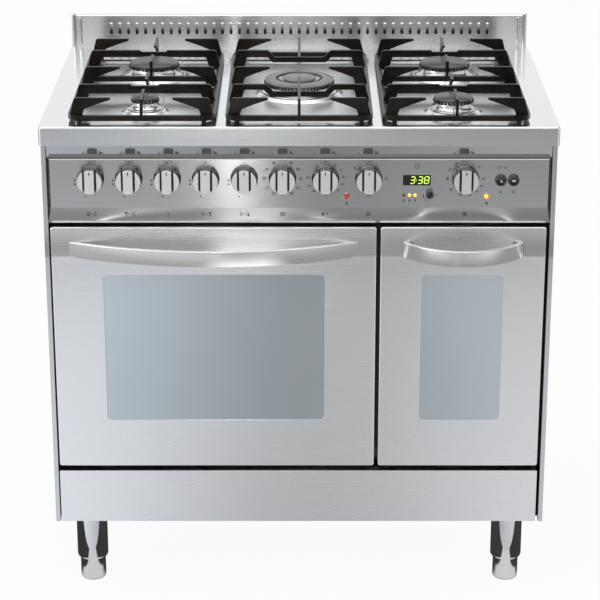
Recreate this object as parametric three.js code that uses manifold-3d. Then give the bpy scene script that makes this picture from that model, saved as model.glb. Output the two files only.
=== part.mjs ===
// A free-standing range cooker, 900 mm wide: gas hob, two ovens with drop-down doors, and a drawer below.
// Millimetres. +X is to the right of someone at the cooker, +Y towards the wall behind it, +Z up.
// The floor is z = 0. While it is built, y = 0 is the front edge of the hob; the last lines centre it.
import * as THREE from "three";
import { mergeVertices } from "three/addons/utils/BufferGeometryUtils.js";
import Module from "manifold-3d";

const wasm = await Module();
wasm.setup();

// ---------------------------------------------------------------- driving dimensions

const TOUCH = 0.3; // gap between two pieces that touch
const OVERRUN = 5; // how far a cutting tool passes through what it cuts
const BITE = 1; // how far a joined piece reaches into the one that carries it
const SHEET = 1.2; // sheet steel of doors, panels and drawer
const HEAVY_SHEET = 1.5; // pressed hob and oven frames

// hob
const HOB_WIDTH = 900;
const HOB_DEPTH = 600;
const HOB_HEIGHT = 900;
const HOB_SKIRT = 34; // height of the folded rim
const HOB_CORNER = 3;
const HOB_OVERHANG = 3; // hob past the body, each side
const WELL_WIDTH = 246; // each pressed well at its rim
const WELL_LENGTH = 456;
const WELL_FRONT = 26; // front edge of the hob to the wells
const WELL_DEPTH = 7;
const WELL_SLOPE = 12;
const WELL_CORNER = 26;

// pan supports
const SUPPORT_COUNT = 3;
const SUPPORT_SIDE_LAP = 5; // support past its well, each side
const SUPPORT_END_LAP = 6;
const SUPPORT_GAP = 17; // between two supports
const SUPPORT_TOP = 43; // above the hob
const SUPPORT_BAR = 9; // square bar of the base frame
const SUPPORT_LIFT = 5; // hob to the underside of the frame
const SUPPORT_PLATE = 5; // thickness of the upright plates
const SUPPORT_CORNER = 20;
const SUPPORT_FOOT_RADIUS = 4.2;
const SUPPORT_FOOT_SIDES = 4;
const LEG_OUTSIDE = 2; // edge of the frame to the outside of a leg
const LEG_INSIDE = 23;
const LEG_SHOULDER = 14; // edge of the frame to the outer end of a plate's top
const SHOULDER_SLOPE = 3;
const SHOULDER_DROP = 2.5;
const FINGER_TIP = 3.5; // height of a finger at its tip
const FINGER_LENGTH = 60; // side fingers, along their top edge
const FINGER_BEND = 0.42; // tip to the bend in the underside, as a share of the length
const FINGER_BEND_DROP = 12;
const FINGER_ROOT_DROP = 20;
const FINGER_ROOT_REACH = 6;
const FINGER_END_INSET = 15; // end of the frame to the outer finger rows
const LONG_FINGER_BEND = 0.55; // root to the bend in the underside
const LONG_FINGER_BEND_DROP = 13;
const LONG_FINGER_ROOT_DROP = 24;
const LONG_FINGER_ROOT_REACH = 4;
const LONG_FINGER_LEAN = 2;
const INNER_FINGER_ROOT = 12; // width of a lengthwise finger where it stands on an inner rail
const INNER_FINGER_SETBACK = 6; // inner rail's middle to the back of that finger
const BRIDGE_DEPTH = 10; // height of a crossbar between its legs
const BRIDGE_ROOT_REACH = 8;
const BRIDGE_NOTCH_WIDTH = 46;
const BRIDGE_NOTCH_DEPTH = 3;
const BRIDGE_DIP = 13; // how far the middle support's crossbars drop
const BRIDGE_DIP_WIDTH = 92;
const BRIDGE_DIP_SHIFT = 4; // how far the underside's slope stands outside the upper one
const BURNER_FINGER_CLEARANCE = 34; // burner axis to the tip of a lengthwise finger
const WOK_FINGER_CLEARANCE = 74;
const INNER_RAIL_Y = 43; // inner rails of a side support, from its middle

// burners
const BURNER_END_DISTANCE = 102; // end of a well to the axis of its burner
const BURNER_SEAT_DROP = 1; // hob surface to the face that the crown stands on
const BURNER_BOSS_SLOPE = 8;
const LARGE_CROWN = 114;
const LARGE_CAP = 92;
const MEDIUM_CROWN = 85;
const MEDIUM_CAP = 69;
const SMALL_CROWN = 66;
const SMALL_CAP = 47;
const WOK_CROWN = 142;
const WOK_RING_CAP = 126;
const WOK_RING_HOLE = 85;
const WOK_INNER_CAP = 61;
const WOK_RING_HEIGHT = 5.5;
const WOK_INNER_RISE = 4; // top of the inner cap above the ring cap
const WOK_VALLEY_SLOPE = 4;
const WOK_CAP_LIP = 2.5; // inner cap past the neck under it
const WOK_CAP_CROWNING = 0.8;
const WOK_RING_WAIST = 2.6; // height of the ring cap's widest place
const WOK_RING_FALL = 0.6; // inner edge of the ring cap above its outer shoulder
const WOK_RING_ROUND = 1.5;
const CUP_DEPTH = 30; // below the hob surface
const CUP_SHARE = 0.55; // cup radius over crown radius
const CROWN_HEIGHT = 18;
const CROWN_RIM = 2;
const NECK_INSET = 1; // cap's edge to the crown's neck below it
const WOK_NECK_INSET = 2;
const NECK_FLARE = 1.5;
const CAP_HEIGHT = 6.4;
const CAP_UNDERCUT = 1;
const CAP_WAIST = 3; // height of a cap's widest place
const CAP_SHOULDER = 3;
const CAP_CROWNING = 1; // middle of a cap above its shoulder
const PORT_WIDTH = 1.8;
const PORT_HEIGHT = 4;
const PORT_DEPTH = 4;
const PLUG_RADIUS = 2;
const PLUG_HEIGHT = 14;
const PLUG_GAP = 3; // crown rim to spark plug
const PLUG_ANGLE = 35;
const PLUG_SIDES = 5;
const SEAT_SIDES = 12;
const CUP_SIDES = 6;

// body
const BODY_BOTTOM = 148;
const BODY_SHEET = 1;
const BODY_SETBACK = 30; // rear edge of the hob to the back panel
const SIDE_FRONT_Y = 3;
const SIDE_FLANGE = 8; // visible front strip of a side panel
const SIDE_LIP = 14;
const SIDE_REAR_FLANGE = 15;
const VENT_COUNT = 6;
const VENT_WIDTH = 70;
const VENT_HEIGHT = 5;
const VENT_PITCH = 100;
const VENT_DROP = 320; // below the hob
const TERMINAL_WIDTH = 110;
const TERMINAL_HEIGHT = 75;
const TERMINAL_DEPTH = 18;
const TERMINAL_INSET = 147; // side of the body to the middle of the terminal cover
const TERMINAL_RISE = 112; // bottom of the body to the middle of the cover
const GLAND_RADIUS = 9;
const GLAND_REACH = 14; // below the terminal cover
const GLAND_SIDES = 8;

// backguard
const GUARD_HEIGHT = 64;
const GUARD_SETBACK = 14; // rear edge of the hob to the front face
const GUARD_FOOT = 20;
const GUARD_HEM = 12;
const GUARD_END_RADIUS = 4.5;
const GUARD_END_RISE = 3;
const BEAD_RADIUS = 3.6;
const BEAD_INSET = 17;
const BEAD_MARGIN = 5;
const ROD_SIDES = 6;
const SLOT_MARGIN = 60; // bead to the first slot, at least
const SLOT_PITCH = 16.8;
const SLOT_WIDTH = 5.6;
const SLOT_HEIGHT = 24;
const SLOT_CENTRE = 37; // above the hob

// feet
const FOOT_INSET = 58; // side of the body to the axis of a foot
const FOOT_FRONT_Y = 76;
const FOOT_REAR_INSET = 50; // back panel to the axis of a rear foot
const SLEEVE_RADIUS = 28.5;
const SLEEVE_BOTTOM = 45;
const SLEEVE_CHAMFER = 4;
const FOOT_RADIUS = 23.5;
const FOOT_TOP = 98;
const FOOT_ROUND = 3;
const FOOT_SIDES = 12;

// control panel
const PANEL_DROP = 28; // hob surface to the top of the panel
const PANEL_RECESS_HEIGHT = 30;
const PANEL_FACE_HEIGHT = 88;
const PANEL_SLOPE_HEIGHT = 31; // strip below the proud face
const PANEL_FACE_Y = 2;
const PANEL_RECESS_Y = 12;
const PANEL_FOOT_Y = 13;
const PANEL_BACK_Y = 22;
const PANEL_END_SLANT = 6;
const PANEL_EDGE = 1; // chamfer of the ledge

// knobs, switches and valves; drops are measured from the ledge of the panel
const KNOB_DROP = 35;
const KNOB_RADIUS = 24;
const KNOB_DEPTH = 25;
const KNOB_SKIRT = 4;
const KNOB_WAIST = 1.6; // skirt past the body
const KNOB_TAPER = 1.4;
const KNOB_GRIP = 17; // width of the raised bar
const KNOB_GROOVE = 3.5;
const KNOB_GROOVE_DEPTH = 12;
const KNOB_CHEEK_DROP = 3; // bar above the side segments
const KNOB_SIDES = 16;
const SPINDLE_RADIUS = 4;
const SPINDLE_REACH = 16; // in front of the panel face
const SPINDLE_SIDES = 6;
const SPINDLE_PLAY = 1; // gas spindle to the panel round it
const GAS_KNOB_FIRST_X = -362.4;
const GAS_KNOB_PITCH = 66.75;
const OVEN_KNOB_X = [-29, 45.4, 120.7, 288.8];
const SWITCH_SIZE = 34;
const SWITCH_DEPTH = 30;
const VALVE_SIZE = 24;
const RAIL_Y = 60;
const RAIL_RADIUS = 8;
const RAIL_SIDES = 8;
const PIPE_RADIUS = 3;
const PIPE_SIDES = 4;
const PIPE_RISE = 25; // axis of the rail to the level of the first pipe
const PIPE_STEP = 7;
const PIPE_BEND = 6;
const INLET_RADIUS = 10;
const INLET_SIDES = 6;
const INLET_INSET = 45; // side of the body to the axis of the inlet
const INLET_REACH = 22; // behind the back panel
const NUT_GAP = 2; // back panel to the union nut
const NUT_LENGTH = 10;

// programmer, lamps and buttons
const BOARD_Y = 5;
const BOARD_THICKNESS = 3;
const BOARD_TOP_DROP = 54;
const BOARD_BOTTOM_DROP = 78;
const BOARD_LEFT = 72;
const BOARD_RIGHT = 338;
const DISPLAY_X = 204.3;
const DISPLAY_DROP = 38;
const DISPLAY_WIDTH = 47.5;
const DISPLAY_HEIGHT = 18;
const DISPLAY_BORDER = 4;
const LED_X = [182, 192, 201.6];
const LED_DROP = 65;
const LED_RADIUS = 1.6;
const LED_SIDES = 6;
const LAMP_X = [82.6, 326];
const LAMP_DROP = 67;
const LAMP_RADIUS = 4.7;
const LAMP_RISE = 2.5;
const LAMP_EDGE = 0.8; // straight side of a lens in front of the panel
const LAMP_DOME = 0.7; // flat top of a lens over its radius
const LAMP_DOME_DROP = 0.6;
const LAMP_SIDES = 8;
const TIMER_X = 227;
const TIMER_DROP = 63;
const TIMER_RADIUS = 7;
const TIMER_DEPTH = 10;
const TIMER_TAPER = 0.4;
const TIMER_EDGE = 1;
const TIMER_SIDES = 10;
const TIMER_STEM_RADIUS = 2.6;
const TIMER_STEM_SIDES = 6;
const BUTTON_X = [350.2, 372.4];
const BUTTON_DROP = 38;
const BUTTON_RADIUS = 10;
const BUTTON_RISE = 6;
const BUTTON_DEPTH = 18;
const BUTTON_SHOULDER = 2;
const BUTTON_DOME = 0.8; // flat top over the radius
const BUTTON_DOME_DROP = 0.6;
const BUTTON_SIDES = 12;

// doors
const DOOR_TOP_GAP = 5.7; // below the control panel
const DOOR_BOTTOM_GAP = 9; // above the drawer
const DOOR_FACE_Y = 4;
const DOOR_BACK_Y = 40;
const DOOR_RETURN = 24;
const DOOR_CORNER = 4;
const FRONT_LEFT_MARGIN = 10; // side of the body to the doors and the drawer
const FRONT_RIGHT_MARGIN = 13;
const MAIN_DOOR_RIGHT = 136.2;
const DOOR_GAP = 6.4; // between the two doors
const MAIN_WINDOW_MARGIN = 90.1; // side of the door to the window
const SMALL_WINDOW_MARGIN = 72.7;
const WINDOW_BOTTOM_MARGIN = 91;
const WINDOW_TOP_MARGIN = 87.8;
const WINDOW_CORNER = 9;
const GLASS = 4;
const GLASS_LAP = 14; // glass past the window, each side
const LINER_SHEET = 1.5;
const LINER_WINDOW_MARGIN = 5;
const PIVOT_DEPTH = 12; // door face to the hinge axis
const PIVOT_RISE = 10; // bottom of the door to the hinge axis
const SKIN_BOTTOM_RETURN = 6.5;
const LINER_LIFT = 6; // pivot to the bottom edge of the liner
const KNUCKLE_RADIUS = 4.5;
const KNUCKLE_LENGTH = 14;
const KNUCKLE_INSET = 32; // door edge to the middle of the knuckle
const KNUCKLE_SIDES = 8;
const PIN_RADIUS = 2.5;
const PIN_SIDES = 6;
const BRACKET_THICKNESS = 5;
const BRACKET_HALF = 4;
const BRACKET_NOSE = 1;

// handles
const HANDLE_DROP = 27.3; // top of the door to the top of the handle
const HANDLE_HEIGHT = 28;
const HANDLE_THICKNESS = 7;
const HANDLE_REACH = 55; // outer face in front of the door
const MAIN_HANDLE_MARGIN = 32.6; // side of the door to the end of the handle
const SMALL_HANDLE_MARGIN = 39.7;
const HANDLE_PAD = 18;
const HANDLE_STEPS = 14;

// ovens
const FRAME_Y = 44; // front face of the oven frames
const FRAME_BOTTOM_LAP = 6; // frame past the door
const FRAME_TOP_LAP = 4.2;
const OVEN_WALL = 2;
const OVEN_BOTTOM_MARGIN = 31; // bottom of the door to the floor of the oven
const OVEN_TOP_MARGIN = 67.3;
const OVEN_SETBACK = 100; // back panel to the rear wall of the ovens
const OVEN_CORNER = 10;
const MAIN_OVEN_LEFT_MARGIN = 55; // side of the door to the side of the oven
const MAIN_OVEN_RIGHT_MARGIN = 54.2;
const SMALL_OVEN_LEFT_MARGIN = 42.4;
const SMALL_OVEN_RIGHT_MARGIN = 42;
const LEDGE_COUNT = 4;
const LEDGE_FIRST = 60; // floor of the oven to the top of the first ledge
const LEDGE_PITCH = 65;
const LEDGE_WIDTH = 7;
const LEDGE_HEIGHT = 4;
const LEDGE_MARGIN = 12;
const SHELF_LEDGE = 1;
const SHELF_WIRE = 5;
const SHELF_RIB = 3;
const SHELF_PITCH = 50;
const SHELF_FRONT_Y = 60;
const SHELF_BACK_GAP = 7.7; // shelf to the fan's cover
const SEAL_WIDTH = 8;
const SEAL_MARGIN = 6;

// fan and grill elements
const FAN_RADIUS = 70;
const FAN_SIDES = 16;
const FAN_HUB_RADIUS = 12;
const FAN_HUB_SIDES = 8;
const FAN_HUB_SETBACK = 8; // front of the blades to the front of the hub
const FAN_BLADES = 8;
const FAN_BLADE_DEPTH = 22;
const FAN_BLADE_INSET = 2; // blades inside the edge of the disc
const FAN_DISC = 2;
const FAN_BLADE_WIDTH = 2;
const FAN_BLADE_INNER = 38;
const FAN_BACK_GAP = 8;
const SHAFT_RADIUS = 4;
const SHAFT_SIDES = 8;
const SHAFT_SETBACK = 6; // front of the blades to the end of the shaft
const MOTOR_RADIUS = 38;
const MOTOR_LENGTH = 60;
const MOTOR_SIDES = 10;
const FAN_COVER_SIZE = 230;
const FAN_COVER_DEPTH = 42;
const FAN_COVER_CORNER = 16;
const FAN_COVER_SLOTS = 6;
const FAN_SLOT_WIDTH = 7;
const FAN_SLOT_LENGTH = 38;
const FAN_SLOT_RADIUS = 62;
const EDGE_VENT_FRONT = 12; // front of the cover to the vents in its edge
const EDGE_VENT_BACK = 8;
const EDGE_VENT_SHARE = 0.6; // length of such a vent over the cover's size
const ELEMENT_RADIUS = 3.5;
const ELEMENT_SIDES = 4;
const ELEMENT_DROP = 16; // oven roof to the element's axis
const ELEMENT_MARGIN = 45;
const ELEMENT_END_MARGIN = 60;
const ELEMENT_BEND = 18;
const MAIN_ELEMENT_RUNS = 6;
const SMALL_ELEMENT_RUNS = 4;

// drawer
const DRAWER_HEIGHT = 102;
const DRAWER_RETURN = 18;
const DRAWER_END_LIP = 36; // rear lips of the front pan, which the box is fixed to
const DRAWER_TOP_LIP = 20;
const DRAWER_BOTTOM_LIP = 12;
const DRAWER_BOX_DROP = 18; // top of the front to the top of the box
const DRAWER_BOX_INSET = 43; // side of the body to the side of the box
const DRAWER_BACK_GAP = 60; // box to the back panel
const DRAWER_FLOOR_GAP = 8;
const RUNNER_WIDTH = 16;
const RUNNER_WALL = 2;
const BASE_FRONT_Y = 26;
const BASE_RIM = 8;
const RAIL_START = 14; // rim to the front end of a rail

// ---------------------------------------------------------------- worked-out sizes

const BODY_HALF = HOB_WIDTH / 2 - HOB_OVERHANG;
const BODY_BACK = HOB_DEPTH - BODY_SETBACK; // rear face of the back panel
const BODY_TOP = HOB_HEIGHT - HEAVY_SHEET - TOUCH;
const INSIDE_HALF = BODY_HALF - BODY_SHEET - TOUCH;
const BASE_BACK_Y = BODY_BACK - 2 * (BODY_SHEET + TOUCH); // in front of the side panels' rear flanges
const BURNER_SEAT = HOB_HEIGHT - BURNER_SEAT_DROP;
const WELL_FLOOR = HOB_HEIGHT - WELL_DEPTH;

const SUPPORT_WIDTH = WELL_WIDTH + 2 * SUPPORT_SIDE_LAP;
const SUPPORT_LENGTH = WELL_LENGTH + 2 * SUPPORT_END_LAP;
const SUPPORT_PITCH = SUPPORT_WIDTH + SUPPORT_GAP;
const SUPPORT_CENTRE_Y = WELL_FRONT + WELL_LENGTH / 2;
const BURNER_ROW_Y = WELL_LENGTH / 2 - BURNER_END_DISTANCE; // from the middle of the supports
const FINGER_ROW_Y = SUPPORT_LENGTH / 2 - FINGER_END_INSET;

const GUARD_Y = HOB_DEPTH - GUARD_SETBACK; // front face of the backguard
const SLOT_COUNT = 1 + Math.floor((2 * (BODY_HALF - BEAD_INSET - SLOT_MARGIN)) / SLOT_PITCH);
const FOOT_X = BODY_HALF - FOOT_INSET;
const FOOT_REAR_Y = BODY_BACK - FOOT_REAR_INSET;
const TERMINAL_X = BODY_HALF - TERMINAL_INSET;
const TERMINAL_Z = BODY_BOTTOM + TERMINAL_RISE;

const PANEL_HALF = BODY_HALF - SIDE_FLANGE - TOUCH;
const PANEL_TOP = HOB_HEIGHT - PANEL_DROP;
const PANEL_LEDGE = PANEL_TOP - PANEL_RECESS_HEIGHT; // top of the proud face
const PANEL_FACE_BOTTOM = PANEL_LEDGE - PANEL_FACE_HEIGHT;
const PANEL_BOTTOM = PANEL_FACE_BOTTOM - PANEL_SLOPE_HEIGHT;
const KNOB_Z = PANEL_LEDGE - KNOB_DROP;
const DISPLAY_Z = PANEL_LEDGE - DISPLAY_DROP;
const LED_Z = PANEL_LEDGE - LED_DROP;
const LAMP_Z = PANEL_LEDGE - LAMP_DROP;
const TIMER_Z = PANEL_LEDGE - TIMER_DROP;
const BUTTON_Z = PANEL_LEDGE - BUTTON_DROP;
const BOARD_TOP = PANEL_LEDGE - BOARD_TOP_DROP;
const BOARD_BOTTOM = PANEL_LEDGE - BOARD_BOTTOM_DROP;
const INLET_X = INLET_INSET - BODY_HALF;

const DRAWER_TOP = BODY_BOTTOM + DRAWER_HEIGHT;
const DRAWER_BOX_TOP = DRAWER_TOP - DRAWER_BOX_DROP;
const DRAWER_BOX_HALF = BODY_HALF - DRAWER_BOX_INSET;
const DRAWER_BOX_BACK = BODY_BACK - DRAWER_BACK_GAP;
const FRONT_LEFT = FRONT_LEFT_MARGIN - BODY_HALF; // left edge of the main door and the drawer
const FRONT_RIGHT = BODY_HALF - FRONT_RIGHT_MARGIN;
const SMALL_DOOR_LEFT = MAIN_DOOR_RIGHT + DOOR_GAP;
const FRAME_SPLIT = MAIN_DOOR_RIGHT + DOOR_GAP / 2;
const DOOR_BOTTOM = DRAWER_TOP + DOOR_BOTTOM_GAP;
const DOOR_TOP = PANEL_BOTTOM - DOOR_TOP_GAP;
const PIVOT_Y = DOOR_FACE_Y + PIVOT_DEPTH;
const PIVOT_Z = DOOR_BOTTOM + PIVOT_RISE;

const OVEN_BOTTOM = DOOR_BOTTOM + OVEN_BOTTOM_MARGIN;
const OVEN_TOP = DOOR_TOP - OVEN_TOP_MARGIN;
const OVEN_BACK_Y = BODY_BACK - OVEN_SETBACK;
const MAIN_OVEN = {
  left: FRONT_LEFT + MAIN_OVEN_LEFT_MARGIN,
  right: MAIN_DOOR_RIGHT - MAIN_OVEN_RIGHT_MARGIN,
  frame: [-INSIDE_HALF, FRAME_SPLIT - TOUCH / 2],
  door: [FRONT_LEFT, MAIN_DOOR_RIGHT],
};
const SMALL_OVEN = {
  left: SMALL_DOOR_LEFT + SMALL_OVEN_LEFT_MARGIN,
  right: FRONT_RIGHT - SMALL_OVEN_RIGHT_MARGIN,
  frame: [FRAME_SPLIT + TOUCH / 2, INSIDE_HALF],
  door: [SMALL_DOOR_LEFT, FRONT_RIGHT],
};
const MAIN_OVEN_X = (MAIN_OVEN.left + MAIN_OVEN.right) / 2;
const FAN_Z = (OVEN_BOTTOM + OVEN_TOP) / 2;
const FAN_DISC_BACK = OVEN_BACK_Y - FAN_BACK_GAP;
const FAN_FRONT_Y = FAN_DISC_BACK - FAN_DISC - FAN_BLADE_DEPTH;
const FAN_COVER_FRONT = OVEN_BACK_Y - TOUCH - FAN_COVER_DEPTH;

const FRONT_Y = DOOR_FACE_Y - HANDLE_REACH;
const CENTRE_Y = (FRONT_Y + HOB_DEPTH) / 2;

// column and row place a burner on the grid of the pan supports
const BURNERS = [
  { name: "rear_left", column: -1, row: 1, cap: LARGE_CAP, crown: LARGE_CROWN, sides: 18 },
  { name: "front_left", column: -1, row: -1, cap: SMALL_CAP, crown: SMALL_CROWN, sides: 14 },
  { name: "rear_right", column: 1, row: 1, cap: LARGE_CAP, crown: LARGE_CROWN, sides: 18 },
  { name: "front_right", column: 1, row: -1, cap: MEDIUM_CAP, crown: MEDIUM_CROWN, sides: 16 },
];
const WOK_SIDES = 18;

// ---------------------------------------------------------------- materials

function material(color, roughness, metalness) {
  return new THREE.MeshStandardMaterial({ color, roughness, metalness });
}

const BRUSHED = material(0xbfc1c4, 0.32, 1);
const POLISHED = material(0xd9dbde, 0.12, 1);
const ZINC = material(0x9a9da1, 0.5, 1);
const ALUMINIUM = material(0xc9c9c7, 0.3, 1);
const BLACK_ENAMEL = material(0x17130f, 0.35, 0);
const GREY_ENAMEL = material(0x4c4c4e, 0.45, 0);
const OVEN_ENAMEL = material(0x23262b, 0.3, 0);
const SATIN = material(0xb4b5b6, 0.38, 0.6);
const DARK_GLASS = material(0x8fa0ac, 0.05, 0);
const GASKET = material(0x1f1f20, 0.8, 0);
const BLACK_PLASTIC = material(0x0c0c0d, 0.15, 0);
const BRASS = material(0xb08d4a, 0.35, 1);

// ---------------------------------------------------------------- solids

// A closed geometry as a solid that can be joined and cut.
function solid(geometry) {
  const bare = geometry.clone();
  bare.deleteAttribute("normal");
  bare.deleteAttribute("uv");
  const welded = mergeVertices(bare, 1e-4);
  const index = welded.index.array;
  const corners = [];
  for (let i = 0; i < index.length; i += 3) {
    const [a, b, c] = index.slice(i, i + 3);
    if (a !== b && b !== c && c !== a) corners.push(a, b, c);
  }
  const vertProperties = welded.attributes.position.array;
  const triVerts = new Uint32Array(corners);
  return new wasm.Manifold(new wasm.Mesh({ numProp: 3, vertProperties, triVerts }));
}

// A finished solid as a geometry with flat faces.
function geometryOf(body) {
  const mesh = body.getMesh();
  const indexed = new THREE.BufferGeometry();
  indexed.setAttribute("position", new THREE.BufferAttribute(new Float32Array(mesh.vertProperties), 3));
  indexed.setIndex(new THREE.BufferAttribute(new Uint32Array(mesh.triVerts), 1));
  const flat = indexed.toNonIndexed();
  flat.computeVertexNormals();
  return flat;
}

// How wide a bore of a few sides is to clear what turns in it.
const boreRadius = (radius, sides) => (radius + TOUCH) / Math.cos(Math.PI / sides);

const join = (...parts) => parts.flat().reduce((whole, part) => whole.add(part));
const cut = (whole, ...tools) => tools.flat().reduce((left, tool) => left.subtract(tool), whole);

function box([x0, x1], [y0, y1], [z0, z1]) {
  const geometry = new THREE.BoxGeometry(x1 - x0, y1 - y0, z1 - z0);
  return solid(geometry.translate((x0 + x1) / 2, (y0 + y1) / 2, (z0 + z1) / 2));
}

// Turns that lay an extrusion along +Z on another axis.
const AXES = {
  x: new THREE.Matrix4().set(0, 0, 1, 0, 1, 0, 0, 0, 0, 1, 0, 0, 0, 0, 0, 1),
  y: new THREE.Matrix4().set(1, 0, 0, 0, 0, 0, -1, 0, 0, 1, 0, 0, 0, 0, 0, 1),
  z: new THREE.Matrix4(),
};

const shapeOf = (outline) => new THREE.Shape(outline.map(([u, v]) => new THREE.Vector2(u, v)));

// An outline pushed along an axis: its points are (y, z) for "x", (x, z) for "y" and (x, y) for "z".
function extrude(axis, outline, from, to, curveSegments = 2) {
  const shape = outline instanceof THREE.Shape ? outline : shapeOf(outline);
  const options = { depth: to - from, bevelEnabled: false, curveSegments };
  const geometry = new THREE.ExtrudeGeometry(shape, options);
  geometry.applyMatrix4(AXES[axis]);
  if (axis === "x") geometry.translate(from, 0, 0);
  if (axis === "y") geometry.translate(0, to, 0);
  if (axis === "z") geometry.translate(0, 0, from);
  return solid(geometry);
}

// A profile of (radius, height) points turned about an axis through the origin.
function turn(profile, sides, axis = "z") {
  const geometry = new THREE.LatheGeometry(profile.map(([r, h]) => new THREE.Vector2(r, h)), sides);
  geometry.rotateX(Math.PI / 2);
  if (axis === "y") geometry.rotateX(Math.PI / 2);
  if (axis === "x") geometry.rotateY(Math.PI / 2);
  return solid(geometry);
}

// A rod along an axis between two places, centred on the two other coordinates.
function rod(axis, radius, from, to, [u, v], sides = 12) {
  const profile = [[0, from], [radius, from], [radius, to], [0, to]];
  if (axis === "x") return turn(profile, sides, "x").translate([0, u, v]);
  if (axis === "z") return turn(profile, sides).translate([u, v, 0]);
  const lying = [[0, -to], [radius, -to], [radius, -from], [0, -from]];
  return turn(lying, sides, "y").translate([u, 0, v]);
}

function roundedRectangle(left, right, bottom, top, radius) {
  const shape = new THREE.Shape();
  shape.moveTo(left + radius, bottom);
  shape.lineTo(right - radius, bottom);
  shape.absarc(right - radius, bottom + radius, radius, -Math.PI / 2, 0, false);
  shape.lineTo(right, top - radius);
  shape.absarc(right - radius, top - radius, radius, 0, Math.PI / 2, false);
  shape.lineTo(left + radius, top);
  shape.absarc(left + radius, top - radius, radius, Math.PI / 2, Math.PI, false);
  shape.lineTo(left, bottom + radius);
  shape.absarc(left + radius, bottom + radius, radius, Math.PI, 1.5 * Math.PI, false);
  return shape;
}

// A solid between two level outlines with as many points each.
function loft(lower, lowZ, upper, highZ, segments) {
  const [low, high] = [lower, upper].map((shape) => shape.extractPoints(segments).shape);
  const count = low.length - 1; // the last point repeats the first
  const corners = [];
  const at = (ring, z, i) => [ring[i % count].x, ring[i % count].y, z];
  for (let i = 0; i < count; i += 1) {
    corners.push(at(low, lowZ, i), at(low, lowZ, i + 1), at(high, highZ, i + 1));
    corners.push(at(low, lowZ, i), at(high, highZ, i + 1), at(high, highZ, i));
  }
  for (let i = 1; i < count - 1; i += 1) {
    corners.push(at(low, lowZ, 0), at(low, lowZ, i + 1), at(low, lowZ, i));
    corners.push(at(high, highZ, 0), at(high, highZ, i), at(high, highZ, i + 1));
  }
  const geometry = new THREE.BufferGeometry();
  geometry.setAttribute("position", new THREE.BufferAttribute(new Float32Array(corners.flat()), 3));
  return solid(geometry);
}

// A path through given points that a tube follows with one ring at each point.
class Route extends THREE.Curve {
  constructor(points) {
    super();
    this.points = points;
  }
  getPoint(t) {
    const place = t * (this.points.length - 1);
    const i = Math.min(Math.floor(place), this.points.length - 2);
    return this.points[i].clone().lerp(this.points[i + 1], place - i);
  }
  getPointAt(t) {
    return this.getPoint(t);
  }
  getTangentAt(t) {
    const i = Math.round(t * (this.points.length - 1));
    const before = this.points[Math.max(i - 1, 0)];
    const here = this.points[i];
    const after = this.points[Math.min(i + 1, this.points.length - 1)];
    const arriving = here.clone().sub(before).normalize();
    const leaving = after.clone().sub(here).normalize();
    return arriving.add(leaving).normalize();
  }
}

// A tube through corner points, with each corner rounded to a bend of the given radius.
function tube(corners, radius, bend, bendSteps, sides = 6) {
  const points = corners.map((corner) => new THREE.Vector3(...corner));
  const route = [points[0]];
  for (let i = 1; i < points.length - 1; i += 1) {
    const start = points[i - 1].clone().sub(points[i]).setLength(bend).add(points[i]);
    const end = points[i + 1].clone().sub(points[i]).setLength(bend).add(points[i]);
    const arc = new THREE.QuadraticBezierCurve3(start, points[i], end);
    route.push(...arc.getPoints(bendSteps));
  }
  route.push(points[points.length - 1]);
  const section = new THREE.Shape();
  section.absarc(0, 0, radius, 0, 2 * Math.PI, false);
  const extrudePath = new Route(route);
  const options = { steps: route.length - 1, extrudePath, bevelEnabled: false, curveSegments: sides / 2 };
  return solid(new THREE.ExtrudeGeometry(section, options));
}

const cooker = new THREE.Group();
cooker.position.y = -CENTRE_Y;

function place(name, body, finish, [x, y, z] = [0, 0, 0], parent = cooker) {
  const geometry = body instanceof THREE.BufferGeometry ? body : geometryOf(body);
  const mesh = new THREE.Mesh(geometry, finish);
  mesh.name = name;
  mesh.position.set(x, y, z);
  parent.add(mesh);
}

const mirrored = (outline) => outline.map(([u, v]) => [-u, v]).reverse();
const sorted = (u, v) => [Math.min(u, v), Math.max(u, v)];
const around = (middle, size) => [middle - size / 2, middle + size / 2];

// ---------------------------------------------------------------- hob

const supportX = (column) => column * SUPPORT_PITCH;
const burnerY = (row) => SUPPORT_CENTRE_Y + row * BURNER_ROW_Y;

// The pressed well under one pan support, grown by the sheet for its outside.
function well(column, grow) {
  const middle = supportX(column);
  const half = WELL_WIDTH / 2 + grow;
  const length = WELL_LENGTH / 2 + grow;
  const rim = roundedRectangle(
    middle - half, middle + half, SUPPORT_CENTRE_Y - length, SUPPORT_CENTRE_Y + length, WELL_CORNER,
  );
  const floor = roundedRectangle(
    middle - half + WELL_SLOPE, middle + half - WELL_SLOPE,
    SUPPORT_CENTRE_Y - length + WELL_SLOPE, SUPPORT_CENTRE_Y + length - WELL_SLOPE,
    WELL_CORNER - WELL_SLOPE / 2,
  );
  if (grow > 0) return loft(floor, WELL_FLOOR - HEAVY_SHEET, rim, HOB_HEIGHT - HEAVY_SHEET, 1);
  return loft(floor, WELL_FLOOR, rim, HOB_HEIGHT + TOUCH, 1);
}

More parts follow.
